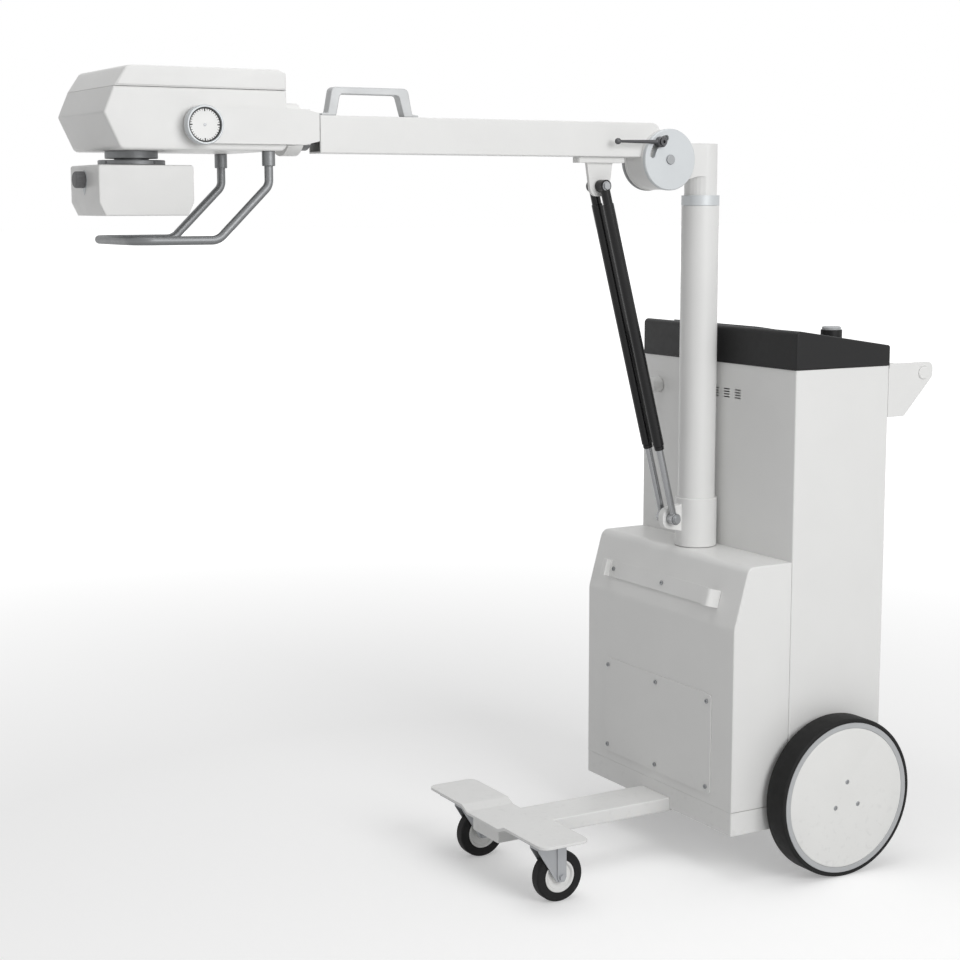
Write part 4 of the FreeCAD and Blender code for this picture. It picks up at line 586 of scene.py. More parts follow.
class NodeTree:
    """A geometry node tree with named inputs, built step by step."""

    def __init__(self, name: str, hosted: bool = False) -> None:
        """Start a tree with a geometry output.

        Args:
            name: Name of the tree.
            hosted: Whether the tree works on the points and edges of its host mesh.
        """
        self.tree = bpy.data.node_groups.new(name, "GeometryNodeTree")
        self.tree.interface.new_socket("Geometry", in_out="OUTPUT", socket_type="NodeSocketGeometry")
        if hosted:
            self.tree.interface.new_socket("Geometry", in_out="INPUT", socket_type="NodeSocketGeometry")
        self.entry = self.tree.nodes.new("NodeGroupInput")
        self.exit = self.tree.nodes.new("NodeGroupOutput")
        self.names: dict[str, str] = {}

    def size(self, name: str, kind: str = "NodeSocketFloat") -> bpy.types.NodeSocket:
        """Add a named input.

        Args:
            name: Name of the input.
            kind: Socket type.

        Returns:
            The socket that carries the input inside the tree.
        """
        made = self.tree.interface.new_socket(name, in_out="INPUT", socket_type=kind)
        self.names[name] = made.identifier
        return self.entry.outputs[name]

    def add(self, kind: str, **inputs: object) -> bpy.types.Node:
        """Add a node and set or link its inputs.

        Args:
            kind: Node type.
            inputs: Values or sockets, by input name with underscores for blanks.

        Returns:
            The new node.
        """
        node = self.tree.nodes.new(kind)
        for name, value in inputs.items():
            self.put(value, node.inputs[name.replace("_", " ")])
        return node

    def put(self, value: object, socket: bpy.types.NodeSocket) -> None:
        """Link a socket's source, or set its value."""
        if isinstance(value, bpy.types.NodeSocket):
            self.tree.links.new(value, socket)
        else:
            socket.default_value = value

    def compute(self, operation: str, *terms: object) -> bpy.types.NodeSocket:
        """Add a math node.

        Args:
            operation: Blender's name of the operation.
            terms: Values or sockets, in order.

        Returns:
            The result's socket.
        """
        node = self.tree.nodes.new("ShaderNodeMath")
        node.operation = operation
        for index, term in enumerate(terms):
            self.put(term, node.inputs[index])
        return node.outputs["Value"]

    def finish(self, geometry: bpy.types.NodeSocket, material: bpy.types.NodeSocket) -> None:
        """End the tree in real geometry with its material.

        Args:
            geometry: Socket with the instances or mesh.
            material: Socket with the material.
        """
        real = self.add("GeometryNodeRealizeInstances", Geometry=geometry)
        coloured = self.add("GeometryNodeSetMaterial", Geometry=real.outputs["Geometry"], Material=material)
        self.tree.links.new(coloured.outputs["Geometry"], self.exit.inputs["Geometry"])

    def grow(
        self, name: str, finish: Finish, body: str, place: Matrix, replaced: Sequence[str] = (),
        points: Sequence[Sequence[float]] = (), bends: Sequence[float] = (), smooth: float = 32.0, **sizes: object
    ) -> bpy.types.Object:
        """Run the tree once and keep its result as a plain mesh.

        Args:
            name: Name of the piece.
            finish: Finish of the piece.
            body: Body that the piece rides on.
            place: Where the tree's own origin and axes lie in the row frame.
            replaced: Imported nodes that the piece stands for.
            points: Points of the host mesh.
            bends: Radius of the bend at each point; given for a chain of points joined by edges.
            smooth: Edges sharper than this, in degrees, stay hard.
            sizes: Values of the named inputs, with underscores for blanks.

        Returns:
            The finished object.
        """
        base = bpy.data.meshes.new(name + "_host")
        base.from_pydata([tuple(p) for p in points], [(k, k + 1) for k in range(len(bends) - 1)], [])
        if bends:
            radii = base.attributes.new("bend", "FLOAT", "POINT")
            for index, radius in enumerate(bends):
                radii.data[index].value = radius
        host = bpy.data.objects.new(name + "_host", base)
        bpy.context.scene.collection.objects.link(host)
        modifier = host.modifiers.new("grow", "NODES")
        modifier.node_group = self.tree
        for label, value in sizes.items():
            modifier[self.names[label.replace("_", " ")]] = value
        modifier[self.names["Finish"]] = finish.material()
        view = bpy.context.evaluated_depsgraph_get()
        view.update()
        mesh = bpy.data.meshes.new_from_object(host.evaluated_get(view))
        bpy.data.objects.remove(host)
        mesh.transform(place)
        mesh.name = name
        shape = bmesh.new()
        shape.from_mesh(mesh)
        bmesh.ops.recalc_face_normals(shape, faces=shape.faces)
        shape.to_mesh(mesh)
        shape.free()
        mesh.shade_smooth()
        mesh.set_sharp_from_angle(angle=math.radians(smooth))
        item = bpy.data.objects.new(name, mesh)
        bpy.context.scene.collection.objects.link(item)
        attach(item, body)
        if replaced:
            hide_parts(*replaced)
        log.info("grown %s on %s", name, body)
        return item


@lru_cache(maxsize=None)
def ring_of_bars() -> NodeTree:
    """Build the tree for bars set round a circle in its own XY plane, pointing at the middle.

    Returns:
        The tree, with inputs Count, Radius, Length, Width, Height and Finish.
    """
    made = NodeTree("ring_of_bars")
    count = made.size("Count", "NodeSocketInt")
    radius = made.size("Radius")
    length, width, height = made.size("Length"), made.size("Width"), made.size("Height")
    finish = made.size("Finish", "NodeSocketMaterial")
    circle = made.add("GeometryNodeMeshCircle", Vertices=count, Radius=radius)
    lengths = made.add("ShaderNodeCombineXYZ", X=length, Y=width, Z=height)
    bar = made.add("GeometryNodeMeshCube", Size=lengths.outputs["Vector"])
    where = made.add("GeometryNodeInputPosition")
    turn = made.add("FunctionNodeAlignRotationToVector", Vector=where.outputs["Position"])
    turn.axis = "X"
    turn.pivot_axis = "Z"
    spread = made.add(
        "GeometryNodeInstanceOnPoints", Points=circle.outputs["Mesh"], Instance=bar.outputs["Mesh"],
        Rotation=turn.outputs["Rotation"])
    made.finish(spread.outputs["Instances"], finish)
    return made


@lru_cache(maxsize=None)
def heads_at_points() -> NodeTree:
    """Build the tree for screw heads with a recess, one on each point of its host.

    Returns:
        The tree, with inputs Radius, Height, Recess, Mouth and Finish.
    """
    made = NodeTree("heads_at_points", hosted=True)
    radius, height = made.size("Radius"), made.size("Height")
    recess, mouth = made.size("Recess"), made.size("Mouth")
    finish = made.size("Finish", "NodeSocketMaterial")
    head = made.add("GeometryNodeMeshCylinder", Vertices=24, Radius=radius, Depth=height)
    up = made.add("GeometryNodeInputNormal")
    split = made.add("ShaderNodeSeparateXYZ", Vector=up.outputs["Normal"])
    top = made.compute("GREATER_THAN", split.outputs["Z"], FACES_UP)
    brow = made.add(
        "GeometryNodeExtrudeMesh", Mesh=head.outputs["Mesh"], Selection=top,
        Offset_Scale=made.compute("MULTIPLY", radius, 0.09))
    shoulder = made.add(
        "GeometryNodeScaleElements", Geometry=brow.outputs["Mesh"], Selection=brow.outputs["Top"], Scale=0.84)
    rim = made.add(
        "GeometryNodeExtrudeMesh", Mesh=shoulder.outputs["Geometry"], Selection=brow.outputs["Top"], Offset_Scale=0.0)
    opening = made.add(
        "GeometryNodeScaleElements", Geometry=rim.outputs["Mesh"], Selection=rim.outputs["Top"], Scale=mouth)
    deep = made.add(
        "GeometryNodeExtrudeMesh", Mesh=opening.outputs["Geometry"], Selection=rim.outputs["Top"],
        Offset_Scale=made.compute("MULTIPLY", recess, -1.0))
    spread = made.add(
        "GeometryNodeInstanceOnPoints", Points=made.entry.outputs["Geometry"], Instance=deep.outputs["Mesh"])
    made.finish(spread.outputs["Instances"], finish)
    return made


@lru_cache(maxsize=None)
def bent_tube() -> NodeTree:
    """Build the tree for a round tube bent along its host's chain of points.

    Returns:
        The tree, with inputs Tube Radius, Steps, Sides and Finish; each bend's radius is the host's attribute.
    """
    made = NodeTree("bent_tube", hosted=True)
    radius = made.size("Tube Radius")
    steps, sides = made.size("Steps", "NodeSocketInt"), made.size("Sides", "NodeSocketInt")
    finish = made.size("Finish", "NodeSocketMaterial")
    line = made.add("GeometryNodeMeshToCurve", Mesh=made.entry.outputs["Geometry"])
    bend = made.add("GeometryNodeInputNamedAttribute", Name="bend")
    round_corners = made.add(
        "GeometryNodeFilletCurve", Curve=line.outputs["Curve"], Radius=bend.outputs["Attribute"])
    round_corners.mode = "POLY"
    made.put(steps, round_corners.inputs["Count"])
    ring = made.add("GeometryNodeCurvePrimitiveCircle", Resolution=sides, Radius=radius)
    tube = made.add(
        "GeometryNodeCurveToMesh", Curve=round_corners.outputs["Curve"], Profile_Curve=ring.outputs["Curve"],
        Fill_Caps=True)
    made.finish(tube.outputs["Mesh"], finish)
    return made


@lru_cache(maxsize=None)
def fluted_grip() -> NodeTree:
    """Build the tree for a round grip with flutes down its side and a rounded brow.

    Returns:
        The tree, with inputs Flutes, Radius, Length, Depth, Brow and Finish.
    """
    made = NodeTree("fluted_grip")
    flutes = made.size("Flutes")
    radius, length = made.size("Radius"), made.size("Length")
    depth, brow = made.size("Depth"), made.size("Brow")
    finish = made.size("Finish", "NodeSocketMaterial")
    blank = made.add("GeometryNodeMeshCylinder", Vertices=144, Radius=radius, Depth=length)
    made.put(16, blank.inputs["Side Segments"])
    where = made.add("GeometryNodeInputPosition")
    split = made.add("ShaderNodeSeparateXYZ", Vector=where.outputs["Position"])
    angle = made.compute("ARCTAN2", split.outputs["Y"], split.outputs["X"])
    wave = made.compute("COSINE", made.compute("MULTIPLY", angle, flutes))
    valley = made.compute("MULTIPLY", made.compute("SUBTRACT", 1.0, wave), made.compute("MULTIPLY", depth, 0.5))
    brow_foot = made.compute("SUBTRACT", made.compute("MULTIPLY", length, 0.5), brow)
    top = made.compute("SUBTRACT", split.outputs["Z"], brow_foot)
    rise = made.compute("DIVIDE", made.compute("MAXIMUM", top, 0.0), brow)
    shoulder = made.compute("MULTIPLY", made.compute("MULTIPLY", rise, rise), made.compute("MULTIPLY", brow, 0.8))
    loss = made.compute("DIVIDE", made.compute("ADD", valley, shoulder), radius)
    share = made.compute("SUBTRACT", 1.0, loss)
    moved = made.add(
        "ShaderNodeCombineXYZ", X=made.compute("MULTIPLY", split.outputs["X"], share),
        Y=made.compute("MULTIPLY", split.outputs["Y"], share), Z=split.outputs["Z"])
    placed = made.add(
        "GeometryNodeSetPosition", Geometry=blank.outputs["Mesh"], Position=moved.outputs["Vector"])
    made.finish(placed.outputs["Geometry"], finish)
    return made


@lru_cache(maxsize=None)
def field_of_keys() -> NodeTree:
    """Build the tree for a field of flat keys with drawn-in tops.

    Returns:
        The tree, with inputs Across, Down, Width, Depth, Key Width, Key Depth, Height and Finish.
    """
    made = NodeTree("field_of_keys")
    across, down = made.size("Across", "NodeSocketInt"), made.size("Down", "NodeSocketInt")
    width, depth = made.size("Width"), made.size("Depth")
    key_width, key_depth, height = made.size("Key Width"), made.size("Key Depth"), made.size("Height")
    finish = made.size("Finish", "NodeSocketMaterial")
    grid = made.add("GeometryNodeMeshGrid", Size_X=width, Size_Y=depth, Vertices_X=across, Vertices_Y=down)
    lengths = made.add("ShaderNodeCombineXYZ", X=key_width, Y=key_depth, Z=height)
    key = made.add("GeometryNodeMeshCube", Size=lengths.outputs["Vector"])
    up = made.add("GeometryNodeInputNormal")
    split = made.add("ShaderNodeSeparateXYZ", Vector=up.outputs["Normal"])
    top = made.compute("GREATER_THAN", split.outputs["Z"], FACES_UP)
    lip = made.add(
        "GeometryNodeExtrudeMesh", Mesh=key.outputs["Mesh"], Selection=top,
        Offset_Scale=made.compute("MULTIPLY", height, 0.4))
    drawn = made.add(
        "GeometryNodeScaleElements", Geometry=lip.outputs["Mesh"], Selection=lip.outputs["Top"], Scale=0.88)
    spread = made.add(
        "GeometryNodeInstanceOnPoints", Points=grid.outputs["Mesh"], Instance=drawn.outputs["Geometry"])
    made.finish(spread.outputs["Instances"], finish)
    return made


class SubAssembly(ABC):
    """A part of the machine that is built and dressed together."""

    @abstractmethod
    def build(self) -> list[bpy.types.Object]:
        """Build and dress every piece of the sub-assembly."""


@dataclass
class Base(SubAssembly):
    """Chassis bar, front wing plate, sheet pan and rear axle."""

    bar_edge: float = 0.0022
    plate_edge: float = 0.0015
    pan_edge: float = 0.0012

    def build(self) -> list[bpy.types.Object]:
        """Round the bar, plate and pan, and dress the units that stand inside."""
        return [
            refined("base_bar", self.bar_edge, segments=3),
            refined("front_plate", self.plate_edge, segments=3),
            refined("base_pan", self.pan_edge),
            refined("rear_axle", 0.0),
            kept("generator_unit"),
            kept("column_post"),
        ]


@dataclass
class FrontCasters(SubAssembly):
    """The two swivelling front casters and the plates that they hang from."""

    shoulder: float = 0.004
    brow_across: float = 0.35
    brow_down: float = 0.3
    hub_gap: float = 0.0003
    lip_inset: float = 0.0008
    lip_height: float = 0.0012
    rubber_edge: float = 0.0006
    hub_edge: float = 0.0006
    fork_edge: float = 0.0007
    plate_edge: float = 0.0006

    def build(self) -> list[bpy.types.Object]:
        """Build both casters."""
        made = [refined("caster_plates", self.plate_edge)]
        for side in Side:
            made += self.caster(side)
        return made

    def caster(self, side: Side) -> list[bpy.types.Object]:
        """Build the fork, hub and tyre of one caster.

        Args:
            side: Side of the machine.

        Returns:
            The finished pieces.
        """
        fork, tyre, hub = (f"caster_{part}_{side.tag}" for part in ("fork", "tyre", "hub"))
        half, outer = span(tyre).x / 2, span(tyre).z / 2
        inner, step = span(hub).z / 2 + self.hub_gap, self.shoulder
        lip, inset = inner + self.lip_height, self.lip_inset
        across, brow = step * self.brow_across, outer - step * self.brow_down
        outline = [
            (-half + inset, inner), (-half, lip), (-half, outer - step), (-half + across, brow),
            (-half + step, outer), (half - step, outer), (half - across, brow), (half, outer - step),
            (half, lip), (half - inset, inner),
        ]
        rubber = turned(tyre + "_skin", facing(Axis.X, 1.0, middle(tyre)), outline, 96)
        return [
            refined(fork, self.fork_edge),
            rubber.bevel(self.rubber_edge, 2, 20.0).dress(BLACK_RUBBER, body_of_node(tyre), tyre),
            refined(hub, self.hub_edge, WHITE_PLASTIC),
        ]


@dataclass
class RearWheels(SubAssembly):
    """The two large rear wheels."""

    tyre_seat: float = 0.1385
    shoulder: float = 0.005
    brow_inset: float = 0.0015
    brow_drop: float = 0.001
    wall_drop: float = 0.004
    rim_gap: float = 0.0003
    lip_inset: float = 0.0008
    lip_height: float = 0.0012
    seat_inset: float = 0.0075
    back_inset: float = 0.001
    rubber_edge: float = 0.0006
    rim_edge: float = 0.0008
    cap_edge: float = 0.0005
    screws: int = 3
    screw_pitch: float = 0.033
    screw_radius: float = 0.0048
    screw_height: float = 0.0008
    screw_recess: float = 0.0022
    screw_mouth: float = 0.55
    screw_depth: float = 0.0009

    def build(self) -> list[bpy.types.Object]:
        """Build both wheels."""
        return [piece for side in Side for piece in self.wheel(side)]

    def wheel(self, side: Side) -> list[bpy.types.Object]:
        """Build the tyre, rim, cap and cap screws of one wheel.

        Args:
            side: Side of the machine.

        Returns:
            The finished pieces.
        """
        tyre, rim, cap = (f"rear_{part}_{side.tag}" for part in ("tyre", "rim", "cap"))
        half, outer, edge, step = span(tyre).x / 2, span(tyre).z / 2, span(rim).z / 2, self.shoulder
        wall, brow = outer - self.wall_drop, outer - self.brow_drop
        seam, lip = edge + self.rim_gap, edge + self.lip_height
        outline = [
            (-half + self.lip_inset, seam), (-half, lip), (-half, wall), (-half + self.brow_inset, brow),
            (-half + step, outer), (half - step, outer), (half - self.brow_inset, brow), (half, wall),
            (half, lip), (half - self.lip_inset, seam), (half - self.seat_inset, seam),
            (half - self.seat_inset, self.tyre_seat), (-half + self.back_inset, self.tyre_seat),
        ]
        rubber = turned(tyre + "_skin", facing(Axis.X, side.value, middle(tyre)), outline, 160)
        low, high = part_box(cap)
        face = high.x if side is Side.LEFT else low.x
        centre = middle(cap)
        seat = Vector((face - self.screw_depth * side.value, centre.y, centre.z))
        heads = [
            (self.screw_pitch * math.sin(turn) * side.value, self.screw_pitch * math.cos(turn), 0.0)
            for turn in (2 * math.pi * k / self.screws for k in range(self.screws))]
        return [
            rubber.bevel(self.rubber_edge, 2, 20.0).dress(BLACK_RUBBER, body_of_node(tyre), tyre),
            refined(rim, self.rim_edge, GREY_PLASTIC),
            refined(cap, self.cap_edge, WHITE_PLASTIC),
            heads_at_points().grow(
                f"rear_cap_screws_{side.tag}", BOLT_STEEL, body_of_node(cap),
                Matrix.Translation(seat) @ upright(Vector((side.value, 0.0, 0.0))), points=heads,
                Radius=self.screw_radius, Height=self.screw_height, Recess=self.screw_recess,
                Mouth=self.screw_mouth),
        ]


@dataclass
class Cabinet(SubAssembly):
    """Front cover, rear cabinet, service panel and hook strip."""

    sheet_edge: float = 0.0006
    panel_edge: float = 0.0007
    hook_edge: float = 0.0006
    screw_edge: float = 0.0003

    def build(self) -> list[bpy.types.Object]:
        """Build the sheet metal and its screws."""
        return [
            refined("front_cover", self.sheet_edge),
            refined("rear_cabinet", self.sheet_edge),
            refined("service_panel", self.panel_edge),
            refined("hook_bar", self.hook_edge, segments=3),
            refined("hanger_peg", 0.0),
            refined("cover_screws", self.screw_edge, BOLT_STEEL),
        ]


@dataclass
class Console(SubAssembly):
    """Sloping lid with its control plate, stop button and push handle."""

    lid_edge: float = 0.0012
    plate_edge: float = 0.0006
    keys_across: int = 5
    keys_down: int = 3
    key_width: float = 0.016
    key_depth: float = 0.012
    key_height: float = 0.0009
    keys_shift: float = 0.2
    keys_share: tuple[float, float] = (0.36, 0.5)
    keys_sink: float = 0.0002
    display_shift: float = -0.24
    display_sink: float = 0.0003
    display_corner: float = 0.005
    display_frame: tuple[float, float, float] = (0.052, 0.040, 0.0010)
    display_glass: tuple[float, float, float] = (0.046, 0.034, 0.0014)
    button_edge: float = 0.0012
    handle_edge: float = 0.001
    rim_depth: float = 0.012

    def build(self) -> list[bpy.types.Object]:
        """Build the lid, its controls and the handle."""
        return [
            refined("console_lid", self.lid_edge, segments=3),
            refined("console_plate", self.plate_edge),
            refined("stop_button", self.button_edge, GREY_PLASTIC, segments=3),
            refined("handle_plates", self.handle_edge),
            refined("push_handle", 0.0),
            self.keys(),
            self.screen(),
        ]

    def slope(self) -> tuple[Vector, Matrix]:
        """Return the middle of the control plate's top and the turn of its plane."""
        low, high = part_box("console_plate")
        corners = [v.co.copy() for v in frame["nodes"]["console_plate"].data.vertices]
        front = max(v.z for v in corners if v.y < low.y + self.rim_depth)
        back = max(v.z for v in corners if v.y > high.y - self.rim_depth)
        tilt = math.atan2(back - front, high.y - low.y)
        centre = Vector(((low.x + high.x) / 2, (low.y + high.y) / 2, (front + back) / 2))
        return centre, Matrix.Rotation(tilt, 4, "X")

    def keys(self) -> bpy.types.Object:
        """Lay a field of blank keys on the near half of the control plate."""
        centre, turn = self.slope()
        size = span("console_plate")
        place = Matrix.Translation(centre) @ turn @ Matrix.Translation((size.x * self.keys_shift, 0.0, -self.keys_sink))
        return field_of_keys().grow(
            "console_keys", KEY_PLASTIC, "chassis", place, Across=self.keys_across, Down=self.keys_down,
            Width=size.x * self.keys_share[0], Depth=size.y * self.keys_share[1], Key_Width=self.key_width,
            Key_Depth=self.key_depth, Height=self.key_height)

    def screen(self) -> bpy.types.Object:
        """Set a blank display in its frame on the far half of the control plate."""
        centre, turn = self.slope()
        size = span("console_plate")
        shift = Matrix.Translation((size.x * self.display_shift, 0.0, -self.display_sink))
        place = Matrix.Translation(centre) @ turn @ shift
        shape = bmesh.new()
        for half_x, half_y, height in (self.display_frame, self.display_glass):
            corners = self.rounded(half_x, half_y, self.display_corner)
            raise_outline(shape, place, corners, 0.0, height, self.display_sink)
        return Piece("console_display", shape).dress(BLACK_PLASTIC, "chassis")

    def rounded(self, half_x: float, half_y: float, radius: float) -> list[tuple[float, float]]:
        """Return the corners of a rectangle with rounded corners.

        Args:
            half_x: Half of its width.
            half_y: Half of its depth.
            radius: Radius of each corner.

        Returns:
            The outline's points.
        """
        points = []
        for quarter, (sx, sy) in enumerate(((1, 1), (-1, 1), (-1, -1), (1, -1))):
            for step in range(6):
                turn = math.pi / 2 * (quarter + step / 5)
                points.append((
                    sx * (half_x - radius) + radius * math.cos(turn), sy * (half_y - radius) + radius * math.sin(turn)))
        return points


@dataclass
class Column(SubAssembly):
    """Turning column, its collar and bright ring, and the head that holds the arm."""

    tube_edge: float = 0.0005
    collar_edge: float = 0.0006
    head_edge: float = 0.001
    bolt_edge: float = 0.0006

    def build(self) -> list[bpy.types.Object]:
        """Build the column from the collar up."""
        return [
            refined("column_tube", self.tube_edge),
            refined("column_collar", self.collar_edge),
            refined("column_ring", THIN_EDGE, PALE_ALUMINIUM.about(Axis.Z, "column_ring")),
            refined("swivel_head", self.head_edge),
            refined("slotted_disc", THIN_EDGE, PALE_ALUMINIUM.about(Axis.X, "slotted_disc")),
            refined("far_disc", THIN_EDGE, ALUMINIUM.about(Axis.X, "far_disc")),
            refined("column_bolts", self.bolt_edge, BOLT_STEEL),
        ]


@dataclass
class LiftArm(SubAssembly):
    """Lifting arm with its spring lug, carry handle, front flange and clamp."""

    tube_edge: float = 0.0009
    lug_edge: float = 0.0012
    handle_edge: float = 0.003

    def build(self) -> list[bpy.types.Object]:
        """Build the arm and what is bolted to it."""
        return [
            refined("arm_tube", self.tube_edge, segments=3),
            refined("strut_bracket", self.lug_edge),
            refined("carry_handle", self.handle_edge, CAST_ALUMINIUM, 3),
            refined("arm_flange", THIN_EDGE, ALUMINIUM.about(Axis.Y, "arm_flange")),
            refined("clamp_bolt", THIN_EDGE),
            refined("clamp_lever", 0.0),
        ]


@dataclass
class GasSprings(SubAssembly):
    """Two gas springs side by side under the arm."""

    spacing: float = 0.020
    eye: float = 0.012
    eye_chamfer: float = 0.0008
    eye_face: float = 0.0277
    rod: float = 0.007
    rod_start: float = 0.008
    reach: float = 0.285
    case: float = 0.011
    case_edge: float = 0.0012
    wall_gap: float = 0.0001
    mouth: float = 0.012
    shown: float = 0.150
    bore: float = 0.265
    neck: float = 0.0095
    neck_length: float = 0.036
    gland: tuple[tuple[float, float], ...] = (
        (0.0, -0.0022), (0.0012, -0.0012), (0.007, -0.0012), (0.0075, -0.002), (0.009, -0.002), (0.0098, 0.0))
    washer_seat: float = 0.0278
    washer: tuple[tuple[float, float], ...] = (
        (0.0, 0.0), (0.0, 0.0088), (0.0006, 0.0092), (0.0012, 0.0088), (0.0012, 0.0))
    nut_radius: float = 0.0076
    nut_foot: float = 0.0010
    nut_top: float = 0.0050
    nut_chamfer: float = 0.0006

    def build(self) -> list[bpy.types.Object]:
        """Build both springs."""
        return [piece for side in Side for piece in self.spring(side)]

    def spring(self, side: Side) -> list[bpy.types.Object]:
        """Build the rod, the cylinder and the upper nut of one spring.

        Args:
            side: Side of the machine.

        Returns:
            The three finished pieces.
        """
        rod, case = f"strut_rod_{side.tag}", f"strut_cylinder_{side.tag}"
        rod_low, rod_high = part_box(rod)
        case_low, case_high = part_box(case)
        x = self.spacing * side.value
        foot = Vector((x, rod_high.y - self.eye, rod_low.z + self.eye))
        top = Vector((x, case_low.y + self.eye, case_high.z - self.eye))
        line, length = along(foot, top), (top - foot).length
        steel = bmesh.new()
        spin(steel, line, [
            (self.rod_start, 0.0), (self.rod_start, self.rod - 0.001), (self.rod_start + 0.002, self.rod),
            (self.reach, self.rod), (self.reach, 0.0)], 48)
        self.add_eye(steel, side, foot, min(abs(rod_low.x), abs(rod_high.x)))
        black = bmesh.new()
        start, neck, hole = self.shown, length - self.neck_length, self.rod + self.wall_gap
        spin(black, line, [
            (start + self.mouth, hole), (start, hole),
            *((start + distance, self.case + rise) for distance, rise in self.gland),
            (neck - self.case_edge, self.case), (neck, self.case - self.case_edge), (neck, self.neck),
            (length - 0.006, self.neck), (length - 0.004, 0.0), (start + self.bore, 0.0), (start + self.bore, hole),
        ], 64)
        self.add_eye(black, side, top, min(abs(case_low.x), abs(case_high.x)))
        bolt = bmesh.new()
        seat = facing(Axis.X, side.value, (self.washer_seat * side.value, top.y, top.z))
        spin(bolt, seat, self.washer, 48)
        nut = hexagon(self.nut_radius, math.pi / 6)
        raise_outline(bolt, seat, nut, self.nut_foot, self.nut_top, self.nut_chamfer)
        return [
            Piece(rod + "_skin", steel).dress(ROD_STEEL, body_of_node(rod), rod),
            Piece(case + "_skin", black).dress(BLACK_ENAMEL, body_of_node(case), case),
            Piece(f"spring_bolt_{side.tag}", bolt, 20.0).dress(BOLT_STEEL, body_of_node(case)),
        ]

    def add_eye(self, shape: bmesh.types.BMesh, side: Side, pin: Vector, near: float) -> None:
        """Add the round eye about a spring's pin.

        Args:
            shape: Mesh that takes the eye.
            side: Side of the machine.
            pin: Point on the pin's axis.
            near: Distance of the inner face from the machine's middle.
        """
        seat = facing(Axis.X, side.value, (0.0, pin.y, pin.z))
        far, cut = self.eye_face, self.eye_chamfer
        spin(shape, seat, [
            (near, 0.0), (near, self.eye - cut), (near + cut, self.eye), (far - cut, self.eye),
            (far, self.eye - cut), (far, 0.0)], 48)


@dataclass
class Yoke(SubAssembly):
    """Rolling yoke with the tilt dial's ring."""

    plate_edge: float = 0.0016
    ring_edge: float = 0.0009

    def build(self) -> list[bpy.types.Object]:
        """Build the yoke and the dial's ring."""
        return [
            refined("yoke", self.plate_edge, segments=3),
            refined("dial_ring", self.ring_edge, PALE_ALUMINIUM.about(Axis.X, "dial_ring"), 3),
        ]


@dataclass
class TubeHead(SubAssembly):
    """Tube housing with its lid, its beam flange and the graduated dial face."""

    shell_edge: float = 0.0006
    flange_edge: float = 0.0005
    hub_rise: float = 0.001
    fine_marks: int = 36
    quarter_marks: int = 4
    # The black edge ring sized here is painted shadow: it stands in for the shade that the recess wall casts on the
    # dial face.
    band_outer: float = 0.0284
    band_inner: float = 0.0262
    band_rise: float = 0.0003
    sink: float = 0.0002
    fine_length: float = 0.0028
    fine_width: float = 0.0009
    quarter_length: float = 0.0046
    quarter_width: float = 0.0019
    mark_height: float = 0.0004
    hub_dot: float = 0.0026
    dot_rise: float = 0.0008

    def build(self) -> list[bpy.types.Object]:
        """Build the housing and the dial face."""
        return [
            refined("head_lower_shell", self.shell_edge, segments=3),
            refined("head_upper_shell", self.shell_edge, segments=3),
            kept("tube_unit"),
            refined("head_flange", self.flange_edge, ALUMINIUM.about(Axis.Z, "head_flange")),
            *self.dial(),
        ]

    def dial(self) -> list[bpy.types.Object]:
        """Build the dial's white face with a black ring of painted shadow at its edge, its marks and middle dot."""
        centre, low, high = middle("dial_face"), *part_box("dial_face")
        radius = span("dial_face").z / 2
        thick = high.x - low.x - self.hub_rise
        place = facing(Axis.X, 1.0, (low.x, centre.y, centre.z))
        plate = turned("dial_face_skin", place, [(0.0, 0.0), (0.0, radius), (thick, radius), (thick, 0.0)], 96)
        made = [plate.dress(DIAL_WHITE, "tube_head", "dial_face")]
        top = Matrix.Translation((low.x + thick, 0.0, 0.0)) @ facing(Axis.X, 1.0, (0.0, centre.y, centre.z))
        # Black ring round the face's edge: painted shadow of the recess, not a printed band.
        painted_shadow = turned("dial_band", top, [
            (-self.sink, self.band_inner), (self.band_rise, self.band_inner), (self.band_rise, self.band_outer),
            (-self.sink, self.band_outer)], 96)
        made.append(painted_shadow.dress(BLACK_PLASTIC, "tube_head"))
        dot = turned("dial_dot", top, [
            (-self.sink, 0.0), (-self.sink, self.hub_dot), (self.dot_rise - 0.0003, self.hub_dot),
            (self.dot_rise, self.hub_dot - 0.0006), (self.dot_rise, 0.0)], 32)
        made.append(dot.dress(ZINC_STEEL, "tube_head"))
        for name, count, length, width in (
            ("dial_marks", self.fine_marks, self.fine_length, self.fine_width),
            ("dial_quarter_marks", self.quarter_marks, self.quarter_length, self.quarter_width),
        ):
            made.append(ring_of_bars().grow(
                name, BLACK_PLASTIC, "tube_head", top, Count=count,
                Radius=self.band_inner - length / 2 + self.band_rise, Length=length, Width=width,
                Height=self.mark_height))
        return made


